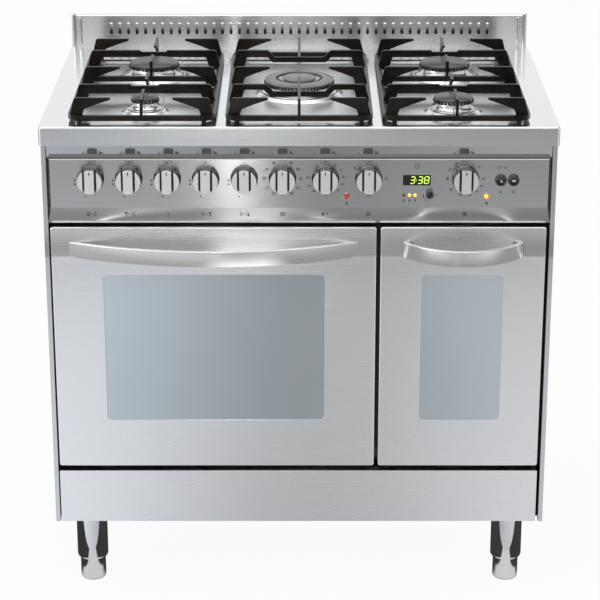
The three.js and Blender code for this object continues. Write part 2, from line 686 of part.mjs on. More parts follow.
// The raised boss in the well, the cup below it and the spark plug beside the crown.
function burnerSeat(x, y, crownRadius) {
  const sheetMiddle = WELL_FLOOR - HEAVY_SHEET / 2;
  const boss = turn(
    [
      [0, sheetMiddle], [crownRadius + BURNER_BOSS_SLOPE, sheetMiddle],
      [crownRadius + TOUCH, BURNER_SEAT], [0, BURNER_SEAT],
    ],
    SEAT_SIDES,
  );
  const cupRadius = crownRadius * CUP_SHARE;
  const cup = rod("z", cupRadius, HOB_HEIGHT - CUP_DEPTH, sheetMiddle + TOUCH, [0, 0], CUP_SIDES);
  const plugX = crownRadius + PLUG_GAP + PLUG_RADIUS;
  const plug = rod("z", PLUG_RADIUS, sheetMiddle, HOB_HEIGHT + PLUG_HEIGHT, [plugX, 0], PLUG_SIDES);
  return join(boss, cup, plug.rotate([0, 0, PLUG_ANGLE])).translate([x, y, 0]);
}

function hobTop() {
  const half = HOB_WIDTH / 2;
  const outline = roundedRectangle(-half, half, 0, HOB_DEPTH, HOB_CORNER);
  const lid = cut(
    extrude("z", outline, HOB_HEIGHT - HOB_SKIRT, HOB_HEIGHT, 1),
    box(
      [-half + HEAVY_SHEET, half - HEAVY_SHEET], [HEAVY_SHEET, HOB_DEPTH - HEAVY_SHEET],
      [HOB_HEIGHT - HOB_SKIRT - OVERRUN, HOB_HEIGHT - HEAVY_SHEET],
    ),
  );
  const columns = Array.from({ length: SUPPORT_COUNT }, (_, i) => i - (SUPPORT_COUNT - 1) / 2);
  const outsides = columns.map((column) => well(column, HEAVY_SHEET));
  const insides = columns.map((column) => well(column, 0));
  const seats = BURNERS.map((burner) =>
    burnerSeat(supportX(burner.column), burnerY(burner.row), burner.crown / 2),
  );
  return join(cut(join(lid, outsides), insides), seats, burnerSeat(0, burnerY(0), WOK_CROWN / 2));
}

place("hob_top", hobTop(), POLISHED);

// ---------------------------------------------------------------- burners

// Small gas ports cut in the neck of a crown, just under its cap: one in the middle of every other facet.
function ports(sides, radius) {
  const deep = [radius - PORT_DEPTH, radius + OVERRUN];
  const tall = [CROWN_HEIGHT - PORT_HEIGHT, CROWN_HEIGHT + TOUCH];
  return Array.from({ length: sides / 2 }, (_, i) =>
    box(deep, around(0, PORT_WIDTH), tall).rotate([0, 0, (360 * (2 * i + 0.5)) / sides]),
  );
}

// The flared foot of a crown, up to its neck.
function crownFlare(base, neck) {
  return [
    [0, 0], [base / 2, 0], [base / 2, CROWN_RIM],
    [neck + NECK_FLARE, CROWN_HEIGHT - PORT_HEIGHT - 1], [neck, CROWN_HEIGHT],
  ];
}

function crown(burner) {
  const neck = burner.cap / 2 - NECK_INSET;
  const profile = [...crownFlare(burner.crown, neck), [0, CROWN_HEIGHT]];
  return cut(turn(profile, burner.sides), ports(burner.sides, neck));
}

function cap(burner) {
  const radius = burner.cap / 2;
  const profile = [
    [0, 0], [radius - CAP_UNDERCUT, 0], [radius, CAP_WAIST],
    [radius - CAP_SHOULDER, CAP_HEIGHT - CAP_CROWNING], [0, CAP_HEIGHT],
  ];
  return turn(profile, burner.sides);
}

const CROWN_Z = BURNER_SEAT + TOUCH;
const CAP_Z = CROWN_Z + CROWN_HEIGHT + TOUCH;

for (const burner of BURNERS) {
  const x = supportX(burner.column);
  const y = burnerY(burner.row);
  place(`burner_crown_${burner.name}`, crown(burner), ALUMINIUM, [x, y, CROWN_Z]);
  place(`burner_cap_${burner.name}`, cap(burner), GREY_ENAMEL, [x, y, CAP_Z]);
}

// Outer ring crown, inner crown and the cap on the inner crown.
function wokCrown() {
  const neck = WOK_RING_CAP / 2 - WOK_NECK_INSET;
  const ringInside = WOK_RING_HOLE / 2 + WOK_NECK_INSET;
  const innerCap = WOK_INNER_CAP / 2;
  const innerTop = CROWN_HEIGHT + TOUCH + WOK_RING_HEIGHT + WOK_INNER_RISE;
  const valley = CROWN_HEIGHT / 2 - 1;
  const profile = [
    ...crownFlare(WOK_CROWN, neck), [ringInside, CROWN_HEIGHT],
    [ringInside - WOK_VALLEY_SLOPE, valley], [innerCap - WOK_CAP_LIP, valley],
    [innerCap, innerTop - CAP_HEIGHT], [innerCap, innerTop - CAP_WAIST],
    [innerCap - WOK_CAP_LIP, innerTop - WOK_CAP_CROWNING], [0, innerTop],
  ];
  return cut(turn(profile, WOK_SIDES), ports(WOK_SIDES, neck));
}

function wokRingCap() {
  const outer = WOK_RING_CAP / 2;
  const inner = WOK_RING_HOLE / 2;
  const profile = [
    [inner, 0], [outer - CAP_UNDERCUT, 0], [outer, WOK_RING_WAIST],
    [outer - CAP_SHOULDER, WOK_RING_HEIGHT - WOK_RING_FALL], [inner + WOK_RING_ROUND, WOK_RING_HEIGHT],
    [inner, 0],
  ];
  return turn(profile, WOK_SIDES);
}

place("burner_crown_centre", wokCrown(), ALUMINIUM, [0, burnerY(0), CROWN_Z]);
place("burner_cap_centre", wokRingCap(), GREY_ENAMEL, [0, burnerY(0), CAP_Z]);

// ---------------------------------------------------------------- pan supports

const FRAME_LOW = SUPPORT_LIFT;
const FRAME_HIGH = SUPPORT_LIFT + SUPPORT_BAR;
const LEG_FOOT = FRAME_LOW + BITE; // where the plates start, inside the frame
const SHOULDER = SUPPORT_WIDTH / 2 - LEG_SHOULDER;
const LEG_ROOT = SUPPORT_WIDTH / 2 - LEG_INSIDE;

// The leg that a plate stands on at the frame's side bar, from its inner foot to its shoulder.
const LEG = [
  [LEG_ROOT, LEG_FOOT], [SUPPORT_WIDTH / 2 - LEG_OUTSIDE, LEG_FOOT],
  [SHOULDER + SHOULDER_SLOPE, SUPPORT_TOP - SHOULDER_DROP], [SHOULDER, SUPPORT_TOP],
];

function sideFinger() {
  const tip = SHOULDER - FINGER_LENGTH;
  return [
    ...LEG, [tip, SUPPORT_TOP], [tip, SUPPORT_TOP - FINGER_TIP],
    [tip + FINGER_LENGTH * FINGER_BEND, SUPPORT_TOP - FINGER_BEND_DROP],
    [LEG_ROOT - FINGER_ROOT_REACH, SUPPORT_TOP - FINGER_ROOT_DROP],
  ];
}

// A crossbar on two legs, which drops over the middle burner and has only a shallow notch over the others.
function bridge(dips) {
  const half = dips ? BRIDGE_DIP_WIDTH / 2 : BRIDGE_NOTCH_WIDTH / 2;
  const drop = dips ? BRIDGE_DIP : BRIDGE_NOTCH_DEPTH;
  const under = SUPPORT_TOP - BRIDGE_DEPTH;
  const top = [...LEG, [half + drop, SUPPORT_TOP], [half, SUPPORT_TOP - drop]];
  const bottom = [[LEG_ROOT - BRIDGE_ROOT_REACH, under]];
  const dip = half + BRIDGE_DIP_SHIFT;
  if (dips) bottom.unshift([dip, under - drop], [dip + drop, under]);
  return [...top, ...mirrored(top), ...mirrored(bottom), ...bottom];
}

// A lengthwise finger: rises from a rail at one place and tapers to a tip.
function lengthFinger(root, tip, rootWidth) {
  const away = Math.sign(tip - root);
  const length = Math.abs(tip - root);
  const points = [
    [0, LEG_FOOT], [LONG_FINGER_LEAN, SUPPORT_TOP], [length, SUPPORT_TOP], [length, SUPPORT_TOP - FINGER_TIP],
    [length * LONG_FINGER_BEND, SUPPORT_TOP - LONG_FINGER_BEND_DROP],
    [rootWidth + LONG_FINGER_ROOT_REACH, SUPPORT_TOP - LONG_FINGER_ROOT_DROP], [rootWidth, LEG_FOOT],
  ].map(([along, z]) => [root + away * along, z]);
  return extrude("x", away > 0 ? points.reverse() : points, ...around(0, SUPPORT_PLATE));
}

function supportFrame() {
  const half = SUPPORT_WIDTH / 2;
  const length = SUPPORT_LENGTH / 2;
  const ring = roundedRectangle(-half, half, -length, length, SUPPORT_CORNER);
  const inside = roundedRectangle(
    -half + SUPPORT_BAR, half - SUPPORT_BAR, -length + SUPPORT_BAR, length - SUPPORT_BAR,
    SUPPORT_CORNER - SUPPORT_BAR,
  );
  ring.holes.push(new THREE.Path(inside.getPoints(1)));
  return extrude("z", ring, FRAME_LOW, FRAME_HIGH, 1);
}

function panSupport(forWok) {
  const half = SUPPORT_WIDTH / 2;
  const length = SUPPORT_LENGTH / 2;
  const pieces = [supportFrame()];
  for (const y of [-FINGER_ROW_Y, 0, FINGER_ROW_Y]) {
    const finger = sideFinger();
    pieces.push(extrude("y", finger, ...around(y, SUPPORT_PLATE)));
    pieces.push(extrude("y", mirrored(finger), ...around(y, SUPPORT_PLATE)));
  }
  for (const y of [-BURNER_ROW_Y, BURNER_ROW_Y]) {
    pieces.push(extrude("y", bridge(forWok), ...around(y, SUPPORT_PLATE)));
  }
  for (const side of [-1, 1]) {
    const outerTip = forWok ? WOK_FINGER_CLEARANCE : BURNER_ROW_Y + BURNER_FINGER_CLEARANCE;
    pieces.push(lengthFinger(side * (length - BITE), side * outerTip, SUPPORT_BAR));
    if (!forWok) {
      const rail = around(side * INNER_RAIL_Y, SUPPORT_BAR);
      const innerRoot = INNER_RAIL_Y - INNER_FINGER_SETBACK;
      const innerTip = BURNER_ROW_Y - BURNER_FINGER_CLEARANCE;
      pieces.push(box([-half + 2 * BITE, half - 2 * BITE], rail, [FRAME_LOW, FRAME_HIGH]));
      pieces.push(lengthFinger(side * innerRoot, side * innerTip, INNER_FINGER_ROOT));
    }
    const footY = side * (length - SUPPORT_BAR / 2);
    for (const x of [-half + SUPPORT_CORNER, half - SUPPORT_CORNER]) {
      pieces.push(rod("z", SUPPORT_FOOT_RADIUS, TOUCH, LEG_FOOT, [x, footY], SUPPORT_FOOT_SIDES));
    }
  }
  return join(pieces);
}

const sideSupport = geometryOf(panSupport(false));
place("pan_support_left", sideSupport, BLACK_ENAMEL, [supportX(-1), SUPPORT_CENTRE_Y, HOB_HEIGHT]);
place("pan_support_centre", panSupport(true), BLACK_ENAMEL, [supportX(0), SUPPORT_CENTRE_Y, HOB_HEIGHT]);
place("pan_support_right", sideSupport, BLACK_ENAMEL, [supportX(1), SUPPORT_CENTRE_Y, HOB_HEIGHT]);

// ---------------------------------------------------------------- backguard

// A slot with round ends, standing upright.
function roundSlot(x, z) {
  const radius = SLOT_WIDTH / 2;
  const straight = SLOT_HEIGHT / 2 - radius;
  const slot = new THREE.Path();
  slot.absarc(x, z + straight, radius, 0, Math.PI, false);
  slot.absarc(x, z - straight, radius, Math.PI, 2 * Math.PI, false);
  return slot;
}

function backguard() {
  const half = BODY_HALF;
  const bottom = HOB_HEIGHT + TOUCH;
  const top = HOB_HEIGHT + GUARD_HEIGHT;
  const face = shapeOf([[-half, bottom], [half, bottom], [half, top], [-half, top]]);
  for (let i = 0; i < SLOT_COUNT; i += 1) {
    face.holes.push(roundSlot((i - (SLOT_COUNT - 1) / 2) * SLOT_PITCH, HOB_HEIGHT + SLOT_CENTRE));
  }
  const plate = extrude("y", face, GUARD_Y, GUARD_Y + SHEET, 1);
  const foot = box([-half, half], [GUARD_Y - GUARD_FOOT, GUARD_Y + SHEET], [bottom, bottom + SHEET]);
  const hem = box([-half, half], [GUARD_Y, GUARD_Y + GUARD_HEM], [top - SHEET, top]);
  const pieces = [plate, foot, hem];
  for (const side of [-1, 1]) {
    const end = [side * (half - GUARD_END_RADIUS), GUARD_Y];
    const bead = [side * (half - BEAD_INSET), GUARD_Y];
    pieces.push(rod("z", GUARD_END_RADIUS, bottom, top + GUARD_END_RISE, end, ROD_SIDES));
    pieces.push(rod("z", BEAD_RADIUS, bottom + BEAD_MARGIN, top - BEAD_MARGIN, bead, ROD_SIDES));
  }
  return join(pieces);
}

place("backguard", backguard(), BRUSHED);

// ---------------------------------------------------------------- body panels

// A folded side panel in plan: front flange with a lip behind it, the wall, and a rear flange.
function sidePanel(side) {
  const outer = BODY_HALF;
  const inner = BODY_HALF - BODY_SHEET;
  const lip = BODY_HALF - SIDE_FLANGE;
  const rear = BODY_BACK - BODY_SHEET - TOUCH;
  const plan = [
    [outer, SIDE_FRONT_Y], [outer, rear],
    [outer - SIDE_REAR_FLANGE, rear], [outer - SIDE_REAR_FLANGE, rear - BODY_SHEET],
    [inner, rear - BODY_SHEET], [inner, SIDE_FRONT_Y + BODY_SHEET],
    [lip + BODY_SHEET, SIDE_FRONT_Y + BODY_SHEET], [lip + BODY_SHEET, SIDE_FRONT_Y + SIDE_LIP],
    [lip, SIDE_FRONT_Y + SIDE_LIP], [lip, SIDE_FRONT_Y],
  ];
  return extrude("z", side > 0 ? plan : mirrored(plan), BODY_BOTTOM, BODY_TOP);
}

place("side_panel_left", sidePanel(-1), BRUSHED);
place("side_panel_right", sidePanel(1), BRUSHED);

// The rear sheet, with air vents, the hole for the gas inlet, and the terminal cover with its gland.
function backPanel() {
  const through = [BODY_BACK - OVERRUN, BODY_BACK + OVERRUN];
  const sheet = box(
    [-BODY_HALF, BODY_HALF], [BODY_BACK - BODY_SHEET, BODY_BACK],
    [BODY_BOTTOM + BODY_SHEET + TOUCH, BODY_TOP],
  );
  const ventZ = HOB_HEIGHT - VENT_DROP;
  const vents = Array.from({ length: VENT_COUNT }, (_, i) => {
    const x = (i - (VENT_COUNT - 1) / 2) * VENT_PITCH;
    return box(around(x, VENT_WIDTH), through, [ventZ, ventZ + VENT_HEIGHT]);
  });
  const inletHole = rod("y", RAIL_RADIUS + TOUCH, ...through, [INLET_X, KNOB_Z], RAIL_SIDES);
  const coverBottom = TERMINAL_Z - TERMINAL_HEIGHT / 2;
  const cover = box(
    around(TERMINAL_X, TERMINAL_WIDTH), [BODY_BACK - BODY_SHEET, BODY_BACK + TERMINAL_DEPTH],
    around(TERMINAL_Z, TERMINAL_HEIGHT),
  );
  const glandPlace = [TERMINAL_X, BODY_BACK + TERMINAL_DEPTH / 2];
  const gland = rod("z", GLAND_RADIUS, coverBottom - GLAND_REACH, TERMINAL_Z, glandPlace, GLAND_SIDES);
  return join(cut(sheet, vents, inletHole), cover, gland);
}

place("back_panel", backPanel(), ZINC);

// The tube that a foot screws into.
function footSleeve() {
  const bore = FOOT_RADIUS + TOUCH;
  const profile = [
    [0, BODY_BOTTOM - SHEET], [bore, BODY_BOTTOM - SHEET], [bore, SLEEVE_BOTTOM],
    [SLEEVE_RADIUS - SLEEVE_CHAMFER / 2, SLEEVE_BOTTOM], [SLEEVE_RADIUS, SLEEVE_BOTTOM + SLEEVE_CHAMFER],
    [SLEEVE_RADIUS, BODY_BOTTOM + SHEET / 2], [0, BODY_BOTTOM + SHEET / 2],
  ];
  return turn(profile, FOOT_SIDES);
}

// The upright wall and the ledge that one side of the drawer runs on.
function drawerRail(side) {
  const top = DRAWER_BOX_TOP - SHEET - TOUCH;
  const along = [BASE_FRONT_Y + RAIL_START, DRAWER_BOX_BACK];
  const outer = side * (DRAWER_BOX_HALF + RUNNER_WIDTH);
  const inner = side * (DRAWER_BOX_HALF + 2 * TOUCH);
  return [
    box(sorted(outer, outer - side * RUNNER_WALL), along, [BODY_BOTTOM, top]),
    box(sorted(outer, inner), along, [top - RUNNER_WALL, top]),
  ];
}

// The tray that closes the body below, with the sleeves of the feet and the drawer's rails.
function basePan() {
  const half = INSIDE_HALF;
  const rim = [BODY_BOTTOM, BODY_BOTTOM + BASE_RIM];
  const depth = [BASE_FRONT_Y, BASE_BACK_Y];
  const sleeve = footSleeve();
  const pieces = [
    box([-half, half], depth, [BODY_BOTTOM, BODY_BOTTOM + BODY_SHEET]),
    box([-half, half], [BASE_BACK_Y - BODY_SHEET, BASE_BACK_Y], rim),
    box([-half, -half + BODY_SHEET], depth, rim),
    box([half - BODY_SHEET, half], depth, rim),
  ];
  for (const side of [-1, 1]) {
    for (const y of [FOOT_FRONT_Y, FOOT_REAR_Y]) pieces.push(sleeve.translate([side * FOOT_X, y, 0]));
    pieces.push(...drawerRail(side));
  }
  return join(pieces);
}

place("base_pan", basePan(), ZINC);

// An adjustable foot, which screws in and out of its sleeve.
const FOOT_PROFILE = [
  [0, 0], [FOOT_RADIUS - FOOT_ROUND, 0], [FOOT_RADIUS, FOOT_ROUND], [FOOT_RADIUS, FOOT_TOP], [0, FOOT_TOP],
];
const foot = geometryOf(turn(FOOT_PROFILE, FOOT_SIDES));
place("foot_front_left", foot, POLISHED, [-FOOT_X, FOOT_FRONT_Y, 0]);
place("foot_front_right", foot, POLISHED, [FOOT_X, FOOT_FRONT_Y, 0]);
place("foot_rear_left", foot, POLISHED, [-FOOT_X, FOOT_REAR_Y, 0]);
place("foot_rear_right", foot, POLISHED, [FOOT_X, FOOT_REAR_Y, 0]);

// ---------------------------------------------------------------- control panel

// The folded front, seen from the side: recessed strip, ledge, proud face and sloping lower strip.
function panelProfile(inset, back) {
  return [
    [PANEL_RECESS_Y + inset, PANEL_TOP - inset], [PANEL_RECESS_Y + inset, PANEL_LEDGE - inset],
    [PANEL_FACE_Y + inset + PANEL_EDGE, PANEL_LEDGE - inset],
    [PANEL_FACE_Y + inset, PANEL_LEDGE - inset - PANEL_EDGE], [PANEL_FACE_Y + inset, PANEL_FACE_BOTTOM],
    [PANEL_FOOT_Y + inset, PANEL_BOTTOM + inset], [back, PANEL_BOTTOM + inset], [back, PANEL_TOP - inset],
  ];
}

// The folded sheet, with slanted ends.
function panelShell() {
  const half = PANEL_HALF;
  const faceHalf = half - PANEL_END_SLANT;
  const plan = [
    [-half, PANEL_BACK_Y], [-half, PANEL_RECESS_Y], [-faceHalf, PANEL_FACE_Y],
    [faceHalf, PANEL_FACE_Y], [half, PANEL_RECESS_Y], [half, PANEL_BACK_Y],
  ];
  const profile = extrude("x", panelProfile(0, PANEL_BACK_Y), -half, half);
  const outside = profile.intersect(extrude("z", plan, PANEL_BOTTOM, PANEL_TOP));
  const inside = panelProfile(SHEET, PANEL_BACK_Y + OVERRUN);
  return cut(outside, extrude("x", inside, -faceHalf + SHEET, faceHalf - SHEET));
}

// A hole through the panel face, as wide as what passes through it.
const panelHole = (radius, x, z, sides) =>
  rod("y", boreRadius(radius, sides), PANEL_FACE_Y - OVERRUN, PANEL_BACK_Y, [x, z], sides);

// The body of a rotary switch behind the panel, and its spindle.
function ovenSwitch(x) {
  const deep = [PANEL_FACE_Y + SHEET / 2, PANEL_FACE_Y + SWITCH_DEPTH];
  return join(
    box(around(x, SWITCH_SIZE), deep, around(KNOB_Z, SWITCH_SIZE)),
    rod("y", SPINDLE_RADIUS, PANEL_FACE_Y - SPINDLE_REACH, PANEL_FACE_Y + SHEET, [x, KNOB_Z], SPINDLE_SIDES),
  );
}

const GAS_KNOB_NAMES = ["front_left", "rear_left", "centre", "rear_right", "front_right"];
const OVEN_KNOB_NAMES = ["main_oven_function", "main_oven_heat", "minute_timer", "small_oven"];
const GAS_KNOB_X = GAS_KNOB_NAMES.map((_, i) => GAS_KNOB_FIRST_X + i * GAS_KNOB_PITCH);

function controlPanel() {
  const display = box(
    around(DISPLAY_X, DISPLAY_WIDTH + 2 * TOUCH), [PANEL_FACE_Y - OVERRUN, PANEL_BACK_Y],
    around(DISPLAY_Z, DISPLAY_HEIGHT + 2 * TOUCH),
  );
  const holes = [
    ...GAS_KNOB_X.map((x) => panelHole(SPINDLE_RADIUS + SPINDLE_PLAY, x, KNOB_Z, SPINDLE_SIDES)),
    ...BUTTON_X.map((x) => panelHole(BUTTON_RADIUS, x, BUTTON_Z, BUTTON_SIDES)),
    ...LAMP_X.map((x) => panelHole(LAMP_RADIUS, x, LAMP_Z, LAMP_SIDES)),
    ...LED_X.map((x) => panelHole(LED_RADIUS, x, LED_Z, LED_SIDES)),
    panelHole(TIMER_STEM_RADIUS, TIMER_X, TIMER_Z, TIMER_STEM_SIDES),
    display,
  ];
  return join(cut(panelShell(), holes), OVEN_KNOB_X.map(ovenSwitch));
}

place("control_panel", controlPanel(), BRUSHED);

// A knob about the origin: its back is at y = 0 and it points forward, with a bore for the spindle.
function knob() {
  const body = KNOB_RADIUS - KNOB_WAIST;
  const profile = [
    [0, 0], [KNOB_RADIUS, 0], [body, KNOB_SKIRT], [body - KNOB_TAPER, KNOB_DEPTH], [0, KNOB_DEPTH],
  ];
  const grip = KNOB_GRIP / 2;
  const across = [-KNOB_RADIUS - OVERRUN, KNOB_RADIUS + OVERRUN];
  const bore = boreRadius(SPINDLE_RADIUS, SPINDLE_SIDES);
  const tools = [rod("z", bore, -OVERRUN, SPINDLE_REACH, [0, 0], SPINDLE_SIDES)];
  for (const side of [-1, 1]) {
    const groove = sorted(side * grip, side * (grip + KNOB_GROOVE));
    const cheek = sorted(side * grip, side * (KNOB_RADIUS + OVERRUN));
    tools.push(box(groove, across, [KNOB_DEPTH - KNOB_GROOVE_DEPTH, KNOB_DEPTH + OVERRUN]));
    tools.push(box(cheek, across, [KNOB_DEPTH - KNOB_CHEEK_DROP, KNOB_DEPTH + OVERRUN]));
  }
  return cut(turn(profile, KNOB_SIDES), tools).rotate([90, 0, 0]);
}

const knobGeometry = geometryOf(knob());
GAS_KNOB_X.forEach((x, i) => {
  place(`gas_knob_${GAS_KNOB_NAMES[i]}`, knobGeometry, SATIN, [x, PANEL_FACE_Y - TOUCH, KNOB_Z]);
});
OVEN_KNOB_X.forEach((x, i) => {
  place(`knob_${OVEN_KNOB_NAMES[i]}`, knobGeometry, SATIN, [x, PANEL_FACE_Y - TOUCH, KNOB_Z]);
});

// ---------------------------------------------------------------- gas supply

// Which burner each gas knob feeds, as columns and rows of the pan supports.
const GAS_TARGETS = [[-1, -1], [-1, 1], [0, 0], [1, 1], [1, -1]];

// A pipe that rises from a valve, runs back at its own level and turns up into its burner's cup.
function gasPipe(x, i) {
  const [column, row] = GAS_TARGETS[i];
  const level = KNOB_Z + PIPE_RISE + PIPE_STEP * i;
  const valveBack = RAIL_Y - VALVE_SIZE / 2;
  const end = HOB_HEIGHT - CUP_DEPTH - TOUCH;
  const corners = [
    [x, valveBack, KNOB_Z + VALVE_SIZE / 2 - BITE], [x, valveBack, level], [x, burnerY(row), level],
    [supportX(column), burnerY(row), level], [supportX(column), burnerY(row), end],
  ];
  return tube(corners, PIPE_RADIUS, PIPE_BEND, 1, PIPE_SIDES);
}

// The rail behind the panel, its valves, the pipe to each burner and the inlet at the back.
function gasRail() {
  const half = VALVE_SIZE / 2;
  const last = GAS_KNOB_X[GAS_KNOB_X.length - 1];
  const inlet = [INLET_X, KNOB_Z];
  const nutStart = BODY_BACK + NUT_GAP;
  const pieces = [
    rod("x", RAIL_RADIUS, INLET_X, last + half, [RAIL_Y, KNOB_Z], RAIL_SIDES),
    rod("y", RAIL_RADIUS, RAIL_Y - RAIL_RADIUS, BODY_BACK + INLET_REACH, inlet, RAIL_SIDES),
    rod("y", INLET_RADIUS, nutStart, nutStart + NUT_LENGTH, inlet, INLET_SIDES),
  ];
  const valve = [PANEL_FACE_Y + SHEET + TOUCH, RAIL_Y];
  const spindle = [PANEL_FACE_Y - SPINDLE_REACH, RAIL_Y - half];
  GAS_KNOB_X.forEach((x, i) => {
    pieces.push(box(around(x, VALVE_SIZE), valve, around(KNOB_Z, VALVE_SIZE)));
    pieces.push(rod("y", SPINDLE_RADIUS, ...spindle, [x, KNOB_Z], SPINDLE_SIDES));
    pieces.push(gasPipe(x, i));
  });
  return join(pieces);
}

place("gas_rail", gasRail(), BRASS);

// ---------------------------------------------------------------- programmer, lamps and buttons

// A domed lens about the origin, whose face of the panel is at z = 0.
function lampLens() {
  const back = PANEL_FACE_Y - BOARD_Y - BOARD_THICKNESS;
  const profile = [
    [0, back], [LAMP_RADIUS, back], [LAMP_RADIUS, LAMP_EDGE],
    [LAMP_RADIUS * LAMP_DOME, LAMP_RISE - LAMP_DOME_DROP], [0, LAMP_RISE],
  ];
  return turn(profile, LAMP_SIDES).rotate([90, 0, 0]);
}

// The board behind the panel, with the display, the indicators and the two lamps that show through it.
function controlBoard() {
  const back = BOARD_Y + BOARD_THICKNESS;
  const front = PANEL_FACE_Y + TOUCH;
  const deep = [BOARD_Y, back];
  const strip = box([BOARD_LEFT, BOARD_RIGHT], deep, [BOARD_BOTTOM, BOARD_TOP]);
  const carrierWidth = DISPLAY_WIDTH + 2 * DISPLAY_BORDER;
  const carrierTop = DISPLAY_Z + DISPLAY_HEIGHT / 2 + DISPLAY_BORDER;
  const carrier = box(around(DISPLAY_X, carrierWidth), deep, [BOARD_BOTTOM, carrierTop]);
  const display = box(around(DISPLAY_X, DISPLAY_WIDTH), [front, back], around(DISPLAY_Z, DISPLAY_HEIGHT));
  const lamps = LAMP_X.map((x) => lampLens().translate([x, PANEL_FACE_Y, LAMP_Z]));
  const leds = LED_X.map((x) => rod("y", LED_RADIUS, front, back, [x, LED_Z], LED_SIDES));
  return join(strip, carrier, display, lamps, leds);
}

place("control_board", controlBoard(), BLACK_PLASTIC);

function timerKnob() {
  const back = PANEL_FACE_Y - TOUCH;
  const edge = TIMER_RADIUS - TIMER_TAPER;
  const profile = [
    [0, 0], [TIMER_RADIUS, 0], [edge, TIMER_DEPTH - TIMER_EDGE], [edge - TIMER_EDGE, TIMER_DEPTH],
    [0, TIMER_DEPTH],
  ];
  const cap = turn(profile, TIMER_SIDES).rotate([90, 0, 0]).translate([0, back, 0]);
  return join(cap, rod("y", TIMER_STEM_RADIUS, back - BITE, BOARD_Y - TOUCH, [0, 0], TIMER_STEM_SIDES));
}

place("timer_knob", timerKnob(), BLACK_PLASTIC, [TIMER_X, 0, TIMER_Z]);

const BUTTON_PROFILE = [
  [0, 0], [BUTTON_RADIUS, 0], [BUTTON_RADIUS, BUTTON_DEPTH - BUTTON_SHOULDER],
  [BUTTON_RADIUS * BUTTON_DOME, BUTTON_DEPTH - BUTTON_DOME_DROP], [0, BUTTON_DEPTH],
];
const pushButton = geometryOf(turn(BUTTON_PROFILE, BUTTON_SIDES).rotate([90, 0, 0]));
const BUTTON_BACK = PANEL_FACE_Y - BUTTON_RISE + BUTTON_DEPTH;
place("push_button_left", pushButton, BLACK_PLASTIC, [BUTTON_X[0], BUTTON_BACK, BUTTON_Z]);
place("push_button_right", pushButton, BLACK_PLASTIC, [BUTTON_X[1], BUTTON_BACK, BUTTON_Z]);

// ---------------------------------------------------------------- ovens

const knuckleX = (width) => width / 2 - KNUCKLE_INSET;

// The brackets and pins that a door turns on, fixed to the oven's front frame.
function hingeBrackets([doorLeft, doorRight]) {
  const middle = (doorLeft + doorRight) / 2;
  const nose = PIVOT_Y - BRACKET_HALF;
  const root = FRAME_Y + HEAVY_SHEET / 2;
  const outline = [
    [nose + BRACKET_NOSE, PIVOT_Z - BRACKET_HALF], [root, PIVOT_Z - BRACKET_HALF],
    [root, PIVOT_Z + BRACKET_HALF], [nose + BRACKET_NOSE, PIVOT_Z + BRACKET_HALF], [nose, PIVOT_Z],
  ];
  return [-1, 1].flatMap((side) => {
    const knuckle = middle + side * knuckleX(doorRight - doorLeft);
    const inner = knuckle - side * (KNUCKLE_LENGTH / 2 + TOUCH);
    const outer = knuckle + side * (KNUCKLE_LENGTH / 2 - BITE);
    const plate = sorted(inner, inner - side * BRACKET_THICKNESS);
    const pin = sorted(inner - side * BITE, outer);
    return [extrude("x", outline, ...plate), rod("x", PIN_RADIUS, ...pin, [PIVOT_Y, PIVOT_Z], PIN_SIDES)];
  });
}

// The ledges that the shelves slide on, down both sides of an oven.
function shelfLedges(left, right) {
  const along = [FRAME_Y + LEDGE_MARGIN, OVEN_BACK_Y - LEDGE_MARGIN];
  return Array.from({ length: LEDGE_COUNT }, (_, i) => {
    const top = ledgeTop(i);
    const tall = [top - LEDGE_HEIGHT, top];
    const wide = [[left - BITE, left + LEDGE_WIDTH], [right - LEDGE_WIDTH, right + BITE]];
    return wide.map((across) => box(across, along, tall));
  }).flat();
}

const ledgeTop = (i) => OVEN_BOTTOM + LEDGE_FIRST + LEDGE_PITCH * i;

// The mouth of an oven, grown by the same amount on every side.
const ovenOutline = ({ left, right }, grow) =>
  roundedRectangle(left - grow, right + grow, OVEN_BOTTOM - grow, OVEN_TOP + grow, OVEN_CORNER + grow);

function oven(size) {
  const frame = box(
    size.frame, [FRAME_Y, FRAME_Y + HEAVY_SHEET], [DOOR_BOTTOM - FRAME_BOTTOM_LAP, DOOR_TOP + FRAME_TOP_LAP],
  );
  const outside = extrude("y", ovenOutline(size, OVEN_WALL), FRAME_Y, OVEN_BACK_Y + OVEN_WALL, 1);
  const inside = extrude("y", ovenOutline(size, 0), FRAME_Y - OVERRUN, OVEN_BACK_Y, 1);
  const cavity = cut(join(frame, outside), inside);
  return join(cavity, shelfLedges(size.left, size.right), hingeBrackets(size.door));
}

function mainOven() {
  const axis = [MAIN_OVEN_X, FAN_Z];
  const motorDepth = [OVEN_BACK_Y + OVEN_WALL / 2, OVEN_BACK_Y + MOTOR_LENGTH];
  const motor = rod("y", MOTOR_RADIUS, ...motorDepth, axis, MOTOR_SIDES);
  const shaft = rod("y", SHAFT_RADIUS, FAN_FRONT_Y + SHAFT_SETBACK, OVEN_BACK_Y + BITE, axis, SHAFT_SIDES);
  return join(oven(MAIN_OVEN), motor, shaft);
}

place("main_oven", mainOven(), OVEN_ENAMEL);
place("small_oven", oven(SMALL_OVEN), OVEN_ENAMEL);

function doorSeal(size) {
  const ring = ovenOutline(size, SEAL_MARGIN + SEAL_WIDTH);
  ring.holes.push(new THREE.Path(ovenOutline(size, SEAL_MARGIN).getPoints(1)));
  return extrude("y", ring, DOOR_BACK_Y + TOUCH, FRAME_Y - TOUCH, 1);
}

place("main_oven_seal", doorSeal(MAIN_OVEN), GASKET);
place("small_oven_seal", doorSeal(SMALL_OVEN), GASKET);

